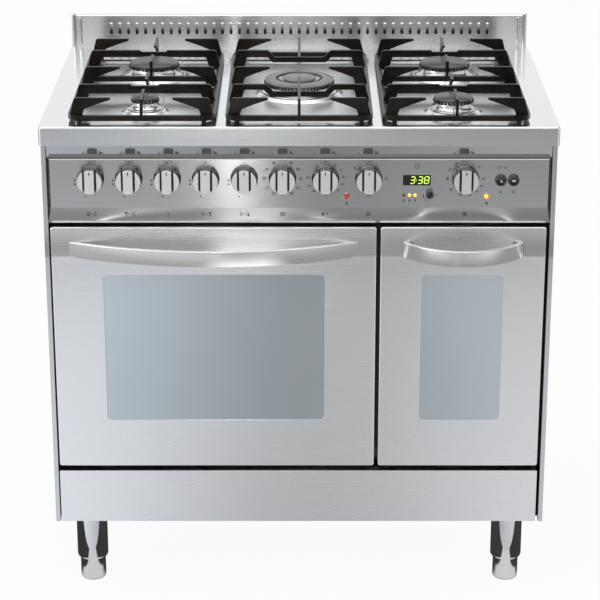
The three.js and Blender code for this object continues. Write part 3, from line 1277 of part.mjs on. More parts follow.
// A wire shelf that rests on a pair of ledges.
function shelf({ left, right }) {
  const low = ledgeTop(SHELF_LEDGE) + TOUCH;
  const wire = [low, low + SHELF_WIRE];
  const [x0, x1] = [left + BITE, right - BITE];
  const [y0, y1] = [SHELF_FRONT_Y, FAN_COVER_FRONT - SHELF_BACK_GAP];
  const pieces = [
    box([x0, x1], [y0, y0 + SHELF_WIRE], wire), box([x0, x1], [y1 - SHELF_WIRE, y1], wire),
    box([x0, x0 + SHELF_WIRE], [y0, y1], wire), box([x1 - SHELF_WIRE, x1], [y0, y1], wire),
  ];
  const count = Math.floor((x1 - x0) / SHELF_PITCH) - 1;
  for (let i = 0; i < count; i += 1) {
    const x = (x0 + x1) / 2 + (i - (count - 1) / 2) * SHELF_PITCH;
    pieces.push(box(around(x, SHELF_RIB), [y0 + BITE, y1 - BITE], around(low + SHELF_WIRE / 2, SHELF_RIB)));
  }
  return join(pieces);
}

place("main_oven_shelf", shelf(MAIN_OVEN), POLISHED);
place("small_oven_shelf", shelf(SMALL_OVEN), POLISHED);

// The fan: a disc with upright blades, on the motor's shaft.
function ovenFan() {
  const deep = [FAN_FRONT_Y, FAN_DISC_BACK - FAN_DISC / 2];
  const pieces = [
    rod("y", FAN_RADIUS, FAN_DISC_BACK - FAN_DISC, FAN_DISC_BACK, [0, 0], FAN_SIDES),
    rod("y", FAN_HUB_RADIUS, FAN_FRONT_Y + FAN_HUB_SETBACK, FAN_DISC_BACK, [0, 0], FAN_HUB_SIDES),
  ];
  for (let i = 0; i < FAN_BLADES; i += 1) {
    const blade = box([FAN_BLADE_INNER, FAN_RADIUS - FAN_BLADE_INSET], deep, around(0, FAN_BLADE_WIDTH));
    pieces.push(blade.rotate([0, (360 * i) / FAN_BLADES, 0]));
  }
  const bore = boreRadius(SHAFT_RADIUS, SHAFT_SIDES);
  return cut(join(pieces), rod("y", bore, FAN_FRONT_Y - OVERRUN, OVEN_BACK_Y, [0, 0], SHAFT_SIDES));
}

place("oven_fan", ovenFan(), ALUMINIUM, [MAIN_OVEN_X, 0, FAN_Z]);

// The tray-shaped cover in front of the fan, with intake slots in a ring and vents in its edge.
function fanCover() {
  const half = FAN_COVER_SIZE / 2;
  const front = FAN_COVER_FRONT;
  const back = OVEN_BACK_Y - TOUCH;
  const square = (size, corner) => roundedRectangle(-size, size, -size, size, corner);
  const outside = extrude("y", square(half, FAN_COVER_CORNER), front, back, 1);
  const inside = extrude("y", square(half - SHEET, FAN_COVER_CORNER - 1), front + SHEET, back + OVERRUN, 1);
  const slots = Array.from({ length: FAN_COVER_SLOTS }, (_, i) =>
    box(
      [FAN_SLOT_RADIUS - FAN_SLOT_LENGTH, FAN_SLOT_RADIUS], [front - OVERRUN, front + OVERRUN],
      around(0, FAN_SLOT_WIDTH),
    ).rotate([0, (360 * (i + 0.5)) / FAN_COVER_SLOTS, 0]),
  );
  const vents = Array.from({ length: 4 }, (_, i) =>
    box(
      [half - OVERRUN, half + OVERRUN], [front + EDGE_VENT_FRONT, front + FAN_COVER_DEPTH - EDGE_VENT_BACK],
      around(0, FAN_COVER_SIZE * EDGE_VENT_SHARE),
    ).rotate([0, 90 * i, 0]),
  );
  return cut(outside, inside, slots, vents);
}

place("fan_cover", fanCover(), OVEN_ENAMEL, [MAIN_OVEN_X, 0, FAN_Z]);

// A sheathed element that runs forward and back under the oven's roof, with both ends at the back wall.
function grillElement({ left, right }, runs) {
  const z = OVEN_TOP - ELEMENT_DROP;
  const [back, turnBack] = [OVEN_BACK_Y - TOUCH, OVEN_BACK_Y - ELEMENT_END_MARGIN];
  const front = FRAME_Y + ELEMENT_END_MARGIN;
  const [x0, x1] = [left + ELEMENT_MARGIN, right - ELEMENT_MARGIN];
  const corners = [];
  for (let i = 0; i < runs; i += 1) {
    const x = x0 + ((x1 - x0) * i) / (runs - 1);
    const near = [x, front, z];
    const far = [x, i === 0 || i === runs - 1 ? back : turnBack, z];
    corners.push(...(i % 2 ? [near, far] : [far, near]));
  }
  return tube(corners, ELEMENT_RADIUS, ELEMENT_BEND, 1, ELEMENT_SIDES);
}

place("main_grill_element", grillElement(MAIN_OVEN, MAIN_ELEMENT_RUNS), ZINC);
place("small_grill_element", grillElement(SMALL_OVEN, SMALL_ELEMENT_RUNS), ZINC);

// ---------------------------------------------------------------- doors

// Door pieces are built about the hinge axis: x = 0 is the middle of the door, y = 0 and z = 0 the axis.
const FACE = DOOR_FACE_Y - PIVOT_Y;
const BACK = DOOR_BACK_Y - PIVOT_Y;
const LOW = DOOR_BOTTOM - PIVOT_Z;
const HIGH = DOOR_TOP - PIVOT_Z;
const WINDOW_LOW = LOW + WINDOW_BOTTOM_MARGIN;
const WINDOW_HIGH = HIGH - WINDOW_TOP_MARGIN;
const GLASS_FRONT = FACE + SHEET + TOUCH;
const LINER_FRONT = GLASS_FRONT + GLASS + TOUCH;
const HANDLE_HIGH = HIGH - HANDLE_DROP;
const HANDLE_LOW = HANDLE_HIGH - HANDLE_HEIGHT;

function windowShape(windowWidth, grow) {
  const half = windowWidth / 2 + grow;
  return roundedRectangle(-half, half, WINDOW_LOW - grow, WINDOW_HIGH + grow, WINDOW_CORNER);
}

// A plain block that follows the window, grown on every side.
function windowBlock(windowWidth, grow, from, to) {
  const half = windowWidth / 2 + grow;
  return box([-half, half], [from, to], [WINDOW_LOW - grow, WINDOW_HIGH + grow]);
}

// The outer sheet, folded back on all sides but open at the bottom behind its short return.
function doorSkin(width, windowWidth) {
  const half = width / 2;
  const behind = FACE + DOOR_RETURN + OVERRUN;
  const wide = [-half + SHEET, half - SHEET];
  const outside = roundedRectangle(-half, half, LOW, HIGH, DOOR_CORNER);
  return cut(
    extrude("y", outside, FACE, FACE + DOOR_RETURN, 1),
    box(wide, [FACE + SHEET, behind], [LOW + SHEET, HIGH - SHEET]),
    box(wide, [FACE + SKIN_BOTTOM_RETURN, behind], [LOW - OVERRUN, LOW + 2 * SHEET]),
    extrude("y", windowShape(windowWidth, 0), FACE - OVERRUN, FACE + OVERRUN),
  );
}

const outerGlass = (windowWidth) => windowBlock(windowWidth, GLASS_LAP, GLASS_FRONT, GLASS_FRONT + GLASS);
const innerGlass = (windowWidth) => windowBlock(windowWidth, GLASS_LAP, BACK - TOUCH - GLASS, BACK - TOUCH);

// The barrels that turn on the hinge pins, and the bores in them.
function hingeKnuckles(width) {
  return [-1, 1].map((side) => {
    const x = side * knuckleX(width);
    const wide = around(x, KNUCKLE_LENGTH);
    const barrel = rod("x", KNUCKLE_RADIUS, ...wide, [0, 0], KNUCKLE_SIDES);
    const web = box(wide, [BITE - KNUCKLE_RADIUS, KNUCKLE_RADIUS - BITE], [0, LINER_LIFT + LINER_SHEET]);
    return join(barrel, web);
  });
}

function hingeBores(width) {
  return [-1, 1].map((side) => {
    const wide = around(side * knuckleX(width), 2 * KNUCKLE_LENGTH);
    return rod("x", boreRadius(PIN_RADIUS, PIN_SIDES), ...wide, [0, 0], PIN_SIDES);
  });
}

// The door's inner pan, open to the front, with a window frame and the two hinge knuckles.
function doorLiner(width, windowWidth) {
  const half = width / 2 - SHEET - TOUCH;
  const [bottom, top] = [LINER_LIFT, HIGH - SHEET - TOUCH];
  const inner = half - LINER_SHEET;
  const outside = box([-half, half], [LINER_FRONT, BACK], [bottom, top]);
  const pocket = box(
    [-inner, inner], [LINER_FRONT - OVERRUN, BACK - LINER_SHEET], [bottom + LINER_SHEET, top - LINER_SHEET],
  );
  const frame = windowBlock(windowWidth, GLASS_LAP + LINER_SHEET + TOUCH, LINER_FRONT, BACK);
  const seat = windowBlock(windowWidth, GLASS_LAP + TOUCH, BACK - GLASS - 2 * TOUCH, BACK + OVERRUN);
  const opening = windowShape(windowWidth, LINER_WINDOW_MARGIN);
  const through = extrude("y", opening, LINER_FRONT - OVERRUN, BACK + OVERRUN, 1);
  const pan = join(cut(outside, pocket), frame, hingeKnuckles(width));
  return cut(pan, through, seat, hingeBores(width));
}

// A flat band bowed forward, with a pad at each end that meets the door.
function handle(length) {
  const half = length / 2;
  const reach = HANDLE_REACH - TOUCH;
  const radius = (half * half + reach * reach) / (2 * reach);
  const centreY = FACE - HANDLE_REACH + radius;
  const arc = (r, from, to) => {
    const points = [];
    for (let i = 0; i <= HANDLE_STEPS; i += 1) {
      const angle = from + ((to - from) * i) / HANDLE_STEPS;
      points.push([r * Math.sin(angle), centreY - r * Math.cos(angle)]);
    }
    return points;
  };
  const end = Math.asin(half / radius);
  const tall = [HANDLE_LOW, HANDLE_HIGH];
  const behind = FACE - TOUCH;
  const bow = [...arc(radius, -end, end), ...arc(radius - HANDLE_THICKNESS, end, -end)];
  const underBow = [...arc(radius - BITE, -end, end), [half, behind + OVERRUN], [-half, behind + OVERRUN]];
  const pads = [-1, 1].map((side) => {
    const wide = sorted(side * half, side * (half - HANDLE_PAD));
    return extrude("z", underBow, ...tall).intersect(box(wide, [FACE - HANDLE_REACH, behind], tall));
  });
  const doorSide = box(
    [-length, length], [behind, behind + length], [HANDLE_LOW - OVERRUN, HANDLE_HIGH + OVERRUN],
  );
  return cut(join(extrude("z", bow, ...tall), pads), doorSide);
}

function door(prefix, [left, right], windowMargin, handleMargin) {
  const assembly = new THREE.Group();
  assembly.position.set((left + right) / 2, PIVOT_Y, PIVOT_Z);
  cooker.add(assembly);
  const width = right - left;
  const windowWidth = width - 2 * windowMargin;
  const put = (piece, body, finish) => place(`${prefix}_door_${piece}`, body, finish, [0, 0, 0], assembly);
  put("skin", doorSkin(width, windowWidth), BRUSHED);
  put("outer_glass", outerGlass(windowWidth), DARK_GLASS);
  put("liner", doorLiner(width, windowWidth), OVEN_ENAMEL);
  put("inner_glass", innerGlass(windowWidth), DARK_GLASS);
  put("handle", handle(width - 2 * handleMargin), BRUSHED);
}

door("main", MAIN_OVEN.door, MAIN_WINDOW_MARGIN, MAIN_HANDLE_MARGIN);
door("small", SMALL_OVEN.door, SMALL_WINDOW_MARGIN, SMALL_HANDLE_MARGIN);

// ---------------------------------------------------------------- drawer

// The front pan: a folded sheet with lips at its back.
function drawerFront() {
  const back = DOOR_FACE_Y + DRAWER_RETURN;
  const outline = roundedRectangle(FRONT_LEFT, FRONT_RIGHT, BODY_BOTTOM, DRAWER_TOP, DOOR_CORNER / 2);
  const inside = box(
    [FRONT_LEFT + SHEET, FRONT_RIGHT - SHEET], [DOOR_FACE_Y + SHEET, back - SHEET],
    [BODY_BOTTOM + SHEET, DRAWER_TOP - SHEET],
  );
  const mouth = box(
    [FRONT_LEFT + DRAWER_END_LIP, FRONT_RIGHT - DRAWER_END_LIP], [back - OVERRUN, back + OVERRUN],
    [BODY_BOTTOM + DRAWER_BOTTOM_LIP, DRAWER_TOP - DRAWER_TOP_LIP],
  );
  return cut(extrude("y", outline, DOOR_FACE_Y, back, 1), inside, mouth);
}

// An open box behind the front pan, whose folded lips ride on the rails of the base pan.
function drawerBox() {
  const half = DRAWER_BOX_HALF;
  const front = DOOR_FACE_Y + DRAWER_RETURN + TOUCH;
  const floor = BODY_BOTTOM + BODY_SHEET + DRAWER_FLOOR_GAP;
  const outside = box([-half, half], [front, DRAWER_BOX_BACK], [floor, DRAWER_BOX_TOP]);
  const inside = box(
    [-half + SHEET, half - SHEET], [front + SHEET, DRAWER_BOX_BACK - SHEET],
    [floor + SHEET, DRAWER_BOX_TOP + OVERRUN],
  );
  const lips = [-1, 1].map((side) => {
    const wide = sorted(side * (half - SHEET / 2), side * (half + RUNNER_WIDTH - TOUCH));
    return box(wide, [BASE_FRONT_Y, DRAWER_BOX_BACK], [DRAWER_BOX_TOP - SHEET, DRAWER_BOX_TOP]);
  });
  return join(cut(outside, inside), lips);
}

place("drawer_front", drawerFront(), BRUSHED);
place("drawer_box", drawerBox(), ZINC);

export default cooker;
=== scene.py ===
# %% [markdown]
# # A range cooker with a gas hob and two ovens
#
# The construction of this cooker is already settled: its panels, doors, knobs and burners have their real
# sizes and places, and its joints are known. This lesson dresses that construction. We load it as a fixed
# frame, set up a small studio, write a finish for each material, and then model the pieces whose curves
# the construction only outlines: burners, knobs, handles, the pressed hob and the small printed signs.

# %% The construction
import math

import bmesh
import bpy
from mathutils import Matrix, Vector


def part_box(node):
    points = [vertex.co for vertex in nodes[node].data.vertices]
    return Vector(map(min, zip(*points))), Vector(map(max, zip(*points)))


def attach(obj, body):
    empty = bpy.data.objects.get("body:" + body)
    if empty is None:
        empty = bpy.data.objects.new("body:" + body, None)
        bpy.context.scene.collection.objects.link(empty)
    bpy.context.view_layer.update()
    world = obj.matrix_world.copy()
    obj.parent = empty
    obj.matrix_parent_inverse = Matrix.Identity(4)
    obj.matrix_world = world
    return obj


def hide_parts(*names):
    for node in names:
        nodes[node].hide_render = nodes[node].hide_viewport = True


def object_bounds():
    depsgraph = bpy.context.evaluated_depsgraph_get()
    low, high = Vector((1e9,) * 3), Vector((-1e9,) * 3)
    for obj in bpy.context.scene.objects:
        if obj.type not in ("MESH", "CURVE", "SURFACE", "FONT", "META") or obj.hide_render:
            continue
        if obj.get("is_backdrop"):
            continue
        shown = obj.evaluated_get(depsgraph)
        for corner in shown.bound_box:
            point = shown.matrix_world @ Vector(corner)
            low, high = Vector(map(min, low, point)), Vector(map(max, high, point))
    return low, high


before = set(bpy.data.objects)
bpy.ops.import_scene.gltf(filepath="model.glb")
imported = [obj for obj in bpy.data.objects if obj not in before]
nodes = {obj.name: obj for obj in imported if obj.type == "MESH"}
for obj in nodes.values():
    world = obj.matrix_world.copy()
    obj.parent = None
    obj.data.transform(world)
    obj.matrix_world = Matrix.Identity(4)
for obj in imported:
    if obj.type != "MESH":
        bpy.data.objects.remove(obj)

MM = 0.001
X, Y, Z = 0, 1, 2
cad_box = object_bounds()
size = cad_box[1] - cad_box[0]
print(f"construction: {len(nodes)} pieces, {size.x:.3f} x {size.y:.3f} x {size.z:.3f} m")

# %% [markdown]
# ## The camera
#
# The cooker is seen from the front, from about 1.9 m up and nearly 4 m away, through a long lens, so its
# upright edges stay almost parallel. The camera comes first because every later choice, such as how round
# a rim has to be, depends on what it sees. The angle and the lens were fitted to the known corners of the
# hob and the body.

# %% Camera
CAMERA_PLACE = (0.0014, -3.8745, 1.9091)
CAMERA_DOWN = math.radians(20.22)
CAMERA_LENS = 130.04

camera_data = bpy.data.cameras.new("camera")
camera_data.lens = CAMERA_LENS
camera_data.sensor_width = 36.0
camera = bpy.data.objects.new("camera", camera_data)
camera.location = CAMERA_PLACE
camera.rotation_euler = (math.pi / 2 - CAMERA_DOWN, 0, 0)
bpy.context.scene.collection.objects.link(camera)
bpy.context.scene.camera = camera
bpy.context.scene.view_settings.view_transform = "Standard"
print(f"camera looks {math.degrees(CAMERA_DOWN):.1f} degrees down through a {CAMERA_LENS:.0f} mm lens")

# %% [markdown]
# ## Shader maths that reads like maths
#
# A finish is a small graph of nodes. Wiring it by hand hides the idea, so one class wraps an output of a
# node and gives it Python's operators: `0.3 + 0.1 * grain` then adds the Math nodes by itself. A second
# class adds nodes of any type to a graph. Colours go through its Mix node, because a Math node would turn
# them grey.

# %% Wires and graphs
class Wire:
    """One output of a node; arithmetic on it adds Math nodes."""

    def __init__(self, graph, socket):
        self.graph = graph
        self.socket = socket

    def combined(self, operation, first, second):
        return self.graph.node("ShaderNodeMath", {"operation": operation}, {0: first, 1: second})

    def __add__(self, other):
        return self.combined("ADD", self, other)

    def __radd__(self, other):
        return self.combined("ADD", other, self)

    def __sub__(self, other):
        return self.combined("SUBTRACT", self, other)

    def __rsub__(self, other):
        return self.combined("SUBTRACT", other, self)

    def __mul__(self, other):
        return self.combined("MULTIPLY", self, other)

    def __rmul__(self, other):
        return self.combined("MULTIPLY", other, self)


class Graph:
    """A tree of shader nodes."""

    def __init__(self, tree):
        self.tree = tree

    def connect(self, socket, value):
        if isinstance(value, Wire):
            self.tree.links.new(value.socket, socket)
        else:
            socket.default_value = value

    def node(self, kind, settings=None, inputs=None, output=0):
        """Adds a node of any type: its settings first, then its sockets."""
        made = self.tree.nodes.new(kind)
        for name, value in (settings or {}).items():
            setattr(made, name, value)
        for name, value in (inputs or {}).items():
            self.connect(made.inputs[name], value)
        return Wire(self, made.outputs[output])

    def mixed(self, factor, first, second):
        return self.node("ShaderNodeMix", {"data_type": "RGBA"}, {0: factor, 6: first, 7: second}, output=2)

    def rays(self):
        """Which rays ask: those of the camera, of mirror images, and of light that went through glass."""
        kinds = ("Camera", "Glossy", "Transmission")
        return [self.node("ShaderNodeLightPath", output=f"Is {kind} Ray") for kind in kinds]


print("a wire adds Math nodes, a graph adds any other node")

# %% [markdown]
# ## A finish and its patterns
#
# A finish is a graph with one Principled shader in it. Its patterns all start from the object's own
# coordinates, in metres, so a pattern keeps its real scale on every piece. `along` gives the place on one
# axis as a number from 0 to 1, for a tone that changes at a fold or an edge.

# %% Finishes
class Finish(Graph):
    """A material: one Principled shader and the patterns that feed it."""

    def __init__(self, name, **constants):
        self.material = bpy.data.materials.new(name)
        self.material.use_nodes = True
        super().__init__(self.material.node_tree)
        self.tree.nodes.clear()
        self.shader = self.tree.nodes.new("ShaderNodeBsdfPrincipled")
        self.surface = self.tree.nodes.new("ShaderNodeOutputMaterial").inputs["Surface"]
        self.tree.links.new(self.shader.outputs[0], self.surface)
        self.feed(**constants)

    def feed(self, **sockets):
        """Sets sockets of the shader: Base_Color=... stands for its Base Color."""
        for name, value in sockets.items():
            self.connect(self.shader.inputs[name.replace("_", " ")], value)

    def stretched(self, scale):
        """The object's own coordinates, scaled evenly or by axis to a pattern's grain per metre."""
        if isinstance(scale, float):
            scale = (scale, scale, scale)
        here = self.node("ShaderNodeTexCoord", output="Object")
        return self.node("ShaderNodeMapping", {"vector_type": "POINT"}, {"Vector": here, "Scale": scale})

    def noise(self, scale, detail=3.0, roughness=0.5):
        inputs = {"Vector": self.stretched(scale), "Scale": 1.0, "Detail": detail, "Roughness": roughness}
        return self.node("ShaderNodeTexNoise", inputs=inputs)

    def cells(self, scale, output="Distance"):
        inputs = {"Vector": self.stretched(scale), "Scale": 1.0}
        return self.node("ShaderNodeTexVoronoi", inputs=inputs, output=output)

    def coordinate(self, axis):
        """One of the object's own coordinates, in metres."""
        here = self.node("ShaderNodeTexCoord", output="Object")
        return self.node("ShaderNodeSeparateXYZ", inputs={0: here}, output=axis)

    def range(self, value, low, high):
        """A value between two limits stretched to 0 to 1."""
        inputs = {"Value": value, "From Min": low, "From Max": high}
        return self.node("ShaderNodeMapRange", {"interpolation_type": "SMOOTHSTEP"}, inputs)

    def along(self, axis, start, end):
        """0 at one place on an axis, 1 at the other."""
        return self.range(self.coordinate(axis), start, end)

    def bump(self, height, strength, distance):
        inputs = {"Height": height, "Strength": strength, "Distance": distance}
        self.feed(Normal=self.node("ShaderNodeBump", inputs=inputs))


def rgb(red, green, blue):
    return (red, green, blue, 1.0)


def grey(level):
    return rgb(level, level, level)


def mottled(name, scale, dark, pale, smooth, swing, detail=3.0, **constants):
    """A finish whose tone and roughness follow one noise, kept as its mottle."""
    made = Finish(name, **constants)
    made.mottle = made.noise(scale, detail)
    made.feed(Base_Color=made.mixed(made.mottle, dark, pale), Roughness=smooth + swing * made.mottle)
    return made


print("patterns ready: noise, cells, places along an axis, bump")

# %% [markdown]
# ## Brushed stainless steel
#
# The doors, the drawer and the control panel are stainless sheet, ground along its width. The grain is
# finer than a hair, so from a step away it shows as a soft sideways streak in the reflections more than as
# lines. We stretch a noise along the grain twice, a fine one for the scratches and a coarser one for the
# streaks of the grinding belt, and add a slow cloud for handling. Anisotropy on the shader does the rest.

# %% Steel finishes
SCRATCHES = (1400.0, 6.0)  # marks per metre across and along the grain
STREAKS = (160.0, 1.2)
CLOUDS = 3.0


def steel(name, level, roughness, along, anisotropy=0.6, tint=(1.0, 1.0, 1.0), smear=0.25):
    """Stainless steel ground along an axis; its grain and its tone are kept for later changes."""
    made = Finish(name, Metallic=1.0, Anisotropic=anisotropy, Anisotropic_Rotation=smear)

    def ground(marks, *options):
        scale = [marks[0]] * 3
        scale[along] = marks[1]
        return made.noise(scale, *options)

    scratches, streaks, clouds = ground(SCRATCHES, 4.0, 0.6), ground(STREAKS), made.noise(CLOUDS, 2.0)
    pale = rgb(*(min(1.0, 1.025 * level * part) for part in tint))
    dark = rgb(*(0.97 * level * part for part in tint))
    made.grain = scratches
    made.tone = made.mixed(0.3 * streaks + 0.4 * scratches + 0.3 * clouds, dark, pale)
    made.feed(Base_Color=made.tone, Roughness=roughness - 0.05 + 0.05 * scratches + 0.05 * clouds)
    made.bump(scratches + 0.06 * streaks, 0.06, 0.02 * MM)
    return made


brushed_steel = steel("brushed_steel", 0.82, 0.27, along=X, anisotropy=0.7)
handle_steel = steel("handle_steel", 0.92, 0.20, along=X, anisotropy=0.55, tint=(1.0, 0.985, 0.97))
trim_steel = steel("trim_steel", 0.40, 0.09, along=X, anisotropy=0.3)
side_steel = steel("side_steel", 0.62, 0.32, along=Z, anisotropy=0.35, smear=0.0)
print("steels: brushed, handle, trim and side")

# %% [markdown]
# The hob and the control panel are steel too, with a change of tone at one place each. The hob's outer
# edges are rolled down, and a dark grey is painted on them as a reflection of the dark sides of the room;
# its front skirt is duller than its top. The panel's upper ledge is folded back, and grey is painted on it as
# shade.

# %% Hob and panel steel
RIM_INNER, RIM_OUTER = 0.4482, 0.4490  # half widths in metres between which the hob darkens
SKIRT_LOW, SKIRT_HIGH = 0.8970, 0.8995
LEDGE_LOW, LEDGE_HIGH = 0.8408, 0.8414

hob_steel = steel("hob_steel", 0.80, 0.17, along=X, anisotropy=0.25, tint=(0.965, 0.985, 1.0))
skirt = 1 - hob_steel.along(Z, SKIRT_LOW, SKIRT_HIGH)
across = hob_steel.coordinate(X)
# painted reflection: the rolled rim is painted dark grey in place of the dark room it would mirror
painted_rim_reflection = hob_steel.range(across * across, RIM_INNER ** 2, RIM_OUTER ** 2)
hob_steel.feed(
    Base_Color=hob_steel.mixed(painted_rim_reflection, hob_steel.tone, grey(0.28)),
    Roughness=0.14 + 0.04 * hob_steel.grain + 0.12 * skirt,
)

panel_steel = steel("panel_steel", 0.62, 0.19, along=X, anisotropy=0.95)
# painted shade: the ledge under the hob's overhang is painted grey, so it does not catch the overhead lamp
painted_ledge_shade = panel_steel.along(Z, LEDGE_LOW, LEDGE_HIGH)
panel_steel.feed(Base_Color=panel_steel.mixed(painted_ledge_shade, panel_steel.tone, grey(0.40)))
print("steels: hob and panel")

# %% [markdown]
# ## The other metals
#
# Galvanised sheet at the back and underneath freezes in spangles, so Voronoi cells tint it patch by patch.
# Chrome is nearly a mirror, and only faint wipe marks in its roughness keep it from looking computed. The
# burner crowns are die-cast aluminium with a slightly pebbled skin, dulled here and there by heat.

# %% Plated, cast and zinc finishes
galvanised = Finish("galvanised_steel", Metallic=1.0)
spangle = galvanised.range(galvanised.cells(110.0, "Color"), 0.1, 0.9)
frost = galvanised.noise(260.0, 4.0)
galvanised.feed(
    Base_Color=galvanised.mixed(spangle, grey(0.47), grey(0.56)),
    Roughness=0.38 + 0.16 * frost,
)
galvanised.bump(frost, 0.15, 0.05 * MM)

chrome = Finish("polished_chrome", Metallic=1.0)
wiped = chrome.noise((40.0, 40.0, 9.0), 4.0)
chrome.feed(
    Base_Color=chrome.mixed(wiped, grey(0.62), rgb(0.74, 0.745, 0.755)),
    Roughness=0.05 + 0.08 * chrome.range(wiped, 0.45, 0.8),
)

aluminium = mottled(
    "burner_aluminium", (35.0, 35.0, 60.0), rgb(0.44, 0.43, 0.415), grey(0.66), 0.10, 0.12, Metallic=1.0)
aluminium.bump(aluminium.noise(900.0), 0.25, 0.06 * MM)
brass = mottled(
    "gas_brass", 60.0, rgb(0.42, 0.26, 0.10), rgb(0.80, 0.60, 0.28), 0.24, 0.22, detail=4.0, Metallic=1.0)
sheath = mottled(
    "element_sheath", 18.0, rgb(0.10, 0.085, 0.075), rgb(0.30, 0.27, 0.25), 0.38, 0.2, Metallic=0.9)
print("metals: zinc, chrome, aluminium, brass and the elements' sheath")

# %% [markdown]
# ## Enamel
#
# Enamel is glass melted onto steel. It pools in a very shallow orange peel, so a broad soft noise goes to
# the bump, and it thins to a slightly warmer tone where it was dusted lightly. Inside the ovens it carries
# pale flecks, which are cut from small Voronoi cells. The clear skin of the glass is the shader's coat.

# %% Enamel finishes
def enamel(name, dark, pale, roughness, coat, peel=0.35):
    made = Finish(name, Coat_Roughness=0.12)
    pooled = made.noise(240.0, 2.0)
    dusted = made.noise(26.0, 4.0)
    made.feed(
        Base_Color=made.mixed(made.range(dusted, 0.3, 0.75), dark, pale),
        Roughness=roughness + 0.14 * dusted,
        Coat_Weight=coat * made.range(dusted, 0.15, 0.6),
    )
    made.bump(pooled, peel, 0.12 * MM)
    return made


black_enamel = enamel("black_enamel", rgb(0.004, 0.0028, 0.002), rgb(0.014, 0.010, 0.007), 0.24, 0.12)
black_enamel.feed(Specular_IOR_Level=0.22)
cap_enamel = enamel("burner_cap_enamel", grey(0.055), rgb(0.10, 0.10, 0.105), 0.34, 0.25, peel=0.2)
wok_enamel = enamel("wok_cap_enamel", grey(0.15), rgb(0.21, 0.21, 0.215), 0.34, 0.25, peel=0.2)

oven_ground = rgb(0.020, 0.023, 0.030)
oven_enamel = enamel("oven_enamel", oven_ground, oven_ground, 0.22, 0.5)
flecks = oven_enamel.range(oven_enamel.cells(420.0), 0.30, 0.16)
oven_enamel.feed(Base_Color=oven_enamel.mixed(0.55 * flecks, oven_ground, grey(0.42)))
print("enamels: supports, caps, wok cap and ovens")

# %% [markdown]
# ## Knobs, glass and the dark plastics
#
# The knobs are lacquered silver: less metallic than the steel and evenly satin. The oven windows are
# coated glass. By day it hides the oven and mirrors the room in a bluish grey, so it is made as a tinted
# mirror under a clear coat and not as clear glass. The gasket is a woven sleeve: two crossed waves.

# %% Knob, glass and gasket finishes
satin_silver = Finish("satin_knob", Metallic=0.85)
lacquer = satin_silver.noise(500.0)
handled = satin_silver.noise(60.0)
satin_silver.feed(
    Base_Color=satin_silver.mixed(handled, rgb(0.84, 0.835, 0.81), rgb(0.94, 0.935, 0.915)),
    Roughness=0.26 + 0.10 * lacquer,
)
satin_silver.bump(lacquer, 0.10, 0.03 * MM)

# painted reflection: the knobs' chrome is painted dark, in place of the dark room that chrome would mirror
chrome_painted_dark = mottled(
    "knob_collar", (50.0, 50.0, 20.0), rgb(0.13, 0.13, 0.135), rgb(0.22, 0.22, 0.225), 0.14, 0.08,
    Metallic=1.0)
# painted shade: the dark of the knobs' grooves, where little light reaches
groove_shade = mottled("knob_groove", 400.0, grey(0.035), grey(0.09), 0.35, 0.2, Metallic=0.5)

gloss_black = Finish("gloss_black", Coat_Weight=0.6, Coat_Roughness=0.03)
dust = gloss_black.noise(800.0, 4.0)
gloss_black.feed(
    Base_Color=gloss_black.mixed(gloss_black.range(dust, 0.62, 0.80), grey(0.008), grey(0.05)),
    Roughness=0.08 + 0.18 * dust,
)

window_glass = mottled(
    "window_glass", (4.0, 4.0, 3.0), rgb(0.47, 0.52, 0.54), rgb(0.54, 0.585, 0.605), 0.09, 0.06, detail=2.0,
    Metallic=0.92, Coat_Weight=0.5, Coat_Roughness=0.02)

gasket = Finish("gasket_rubber")
over, under = (
    gasket.node(
        "ShaderNodeTexWave", {"bands_direction": "DIAGONAL"},
        {"Vector": gasket.stretched((lay, 1, 1)), "Scale": 160.0},
    )
    for lay in (1, -1)
)
gasket.feed(Base_Color=gasket.mixed(over * under, grey(0.015), grey(0.09)), Roughness=0.75 + 0.15 * over)
gasket.bump(over * under, 0.6, 0.4 * MM)

ceramic = mottled(
    "spark_ceramic", 300.0, rgb(0.70, 0.68, 0.63), rgb(0.86, 0.85, 0.82), 0.2, 0.2, Coat_Weight=0.4)
# painted shade: the dark inside the burner ports and the screws' recesses, where light does not reach
pocket_shade = mottled("port_shade", 700.0, grey(0.010), grey(0.03), 0.6, 0.3, detail=2.0)
print("knob silver and grooves, black plastic, window glass, gasket, ceramic and soot")

# %% [markdown]
# ## Ink and lamps
#
# The signs are silk-screened: dull ink with a slightly uneven edge tone. The display and the lamps give
# light of their own, which is a constant emission, with a little base colour so they still look like
# lenses from the side. The orange lamp is lit, so its middle is hot and yellow.

# %% Ink and light finishes
def ink(name, dark, pale):
    return mottled(name, 1500.0, dark, pale, 0.45, 0.2, detail=2.0)


def lens(name, colour, glow):
    bright = rgb(*(min(1.0, 1.25 * part) for part in colour))
    made = mottled(name, 350.0, rgb(*colour), bright, 0.12, 0.1, detail=2.0, Coat_Weight=0.5,
                   Emission_Strength=glow)
    made.feed(Emission_Color=made.mixed(made.mottle, rgb(*colour), bright))
    return made


LAMP_X, LAMP_LEVEL = 326.0, 775.0
HEART, HALO = 1.2, 4.0  # radii at which the yellow is full and at which it ends

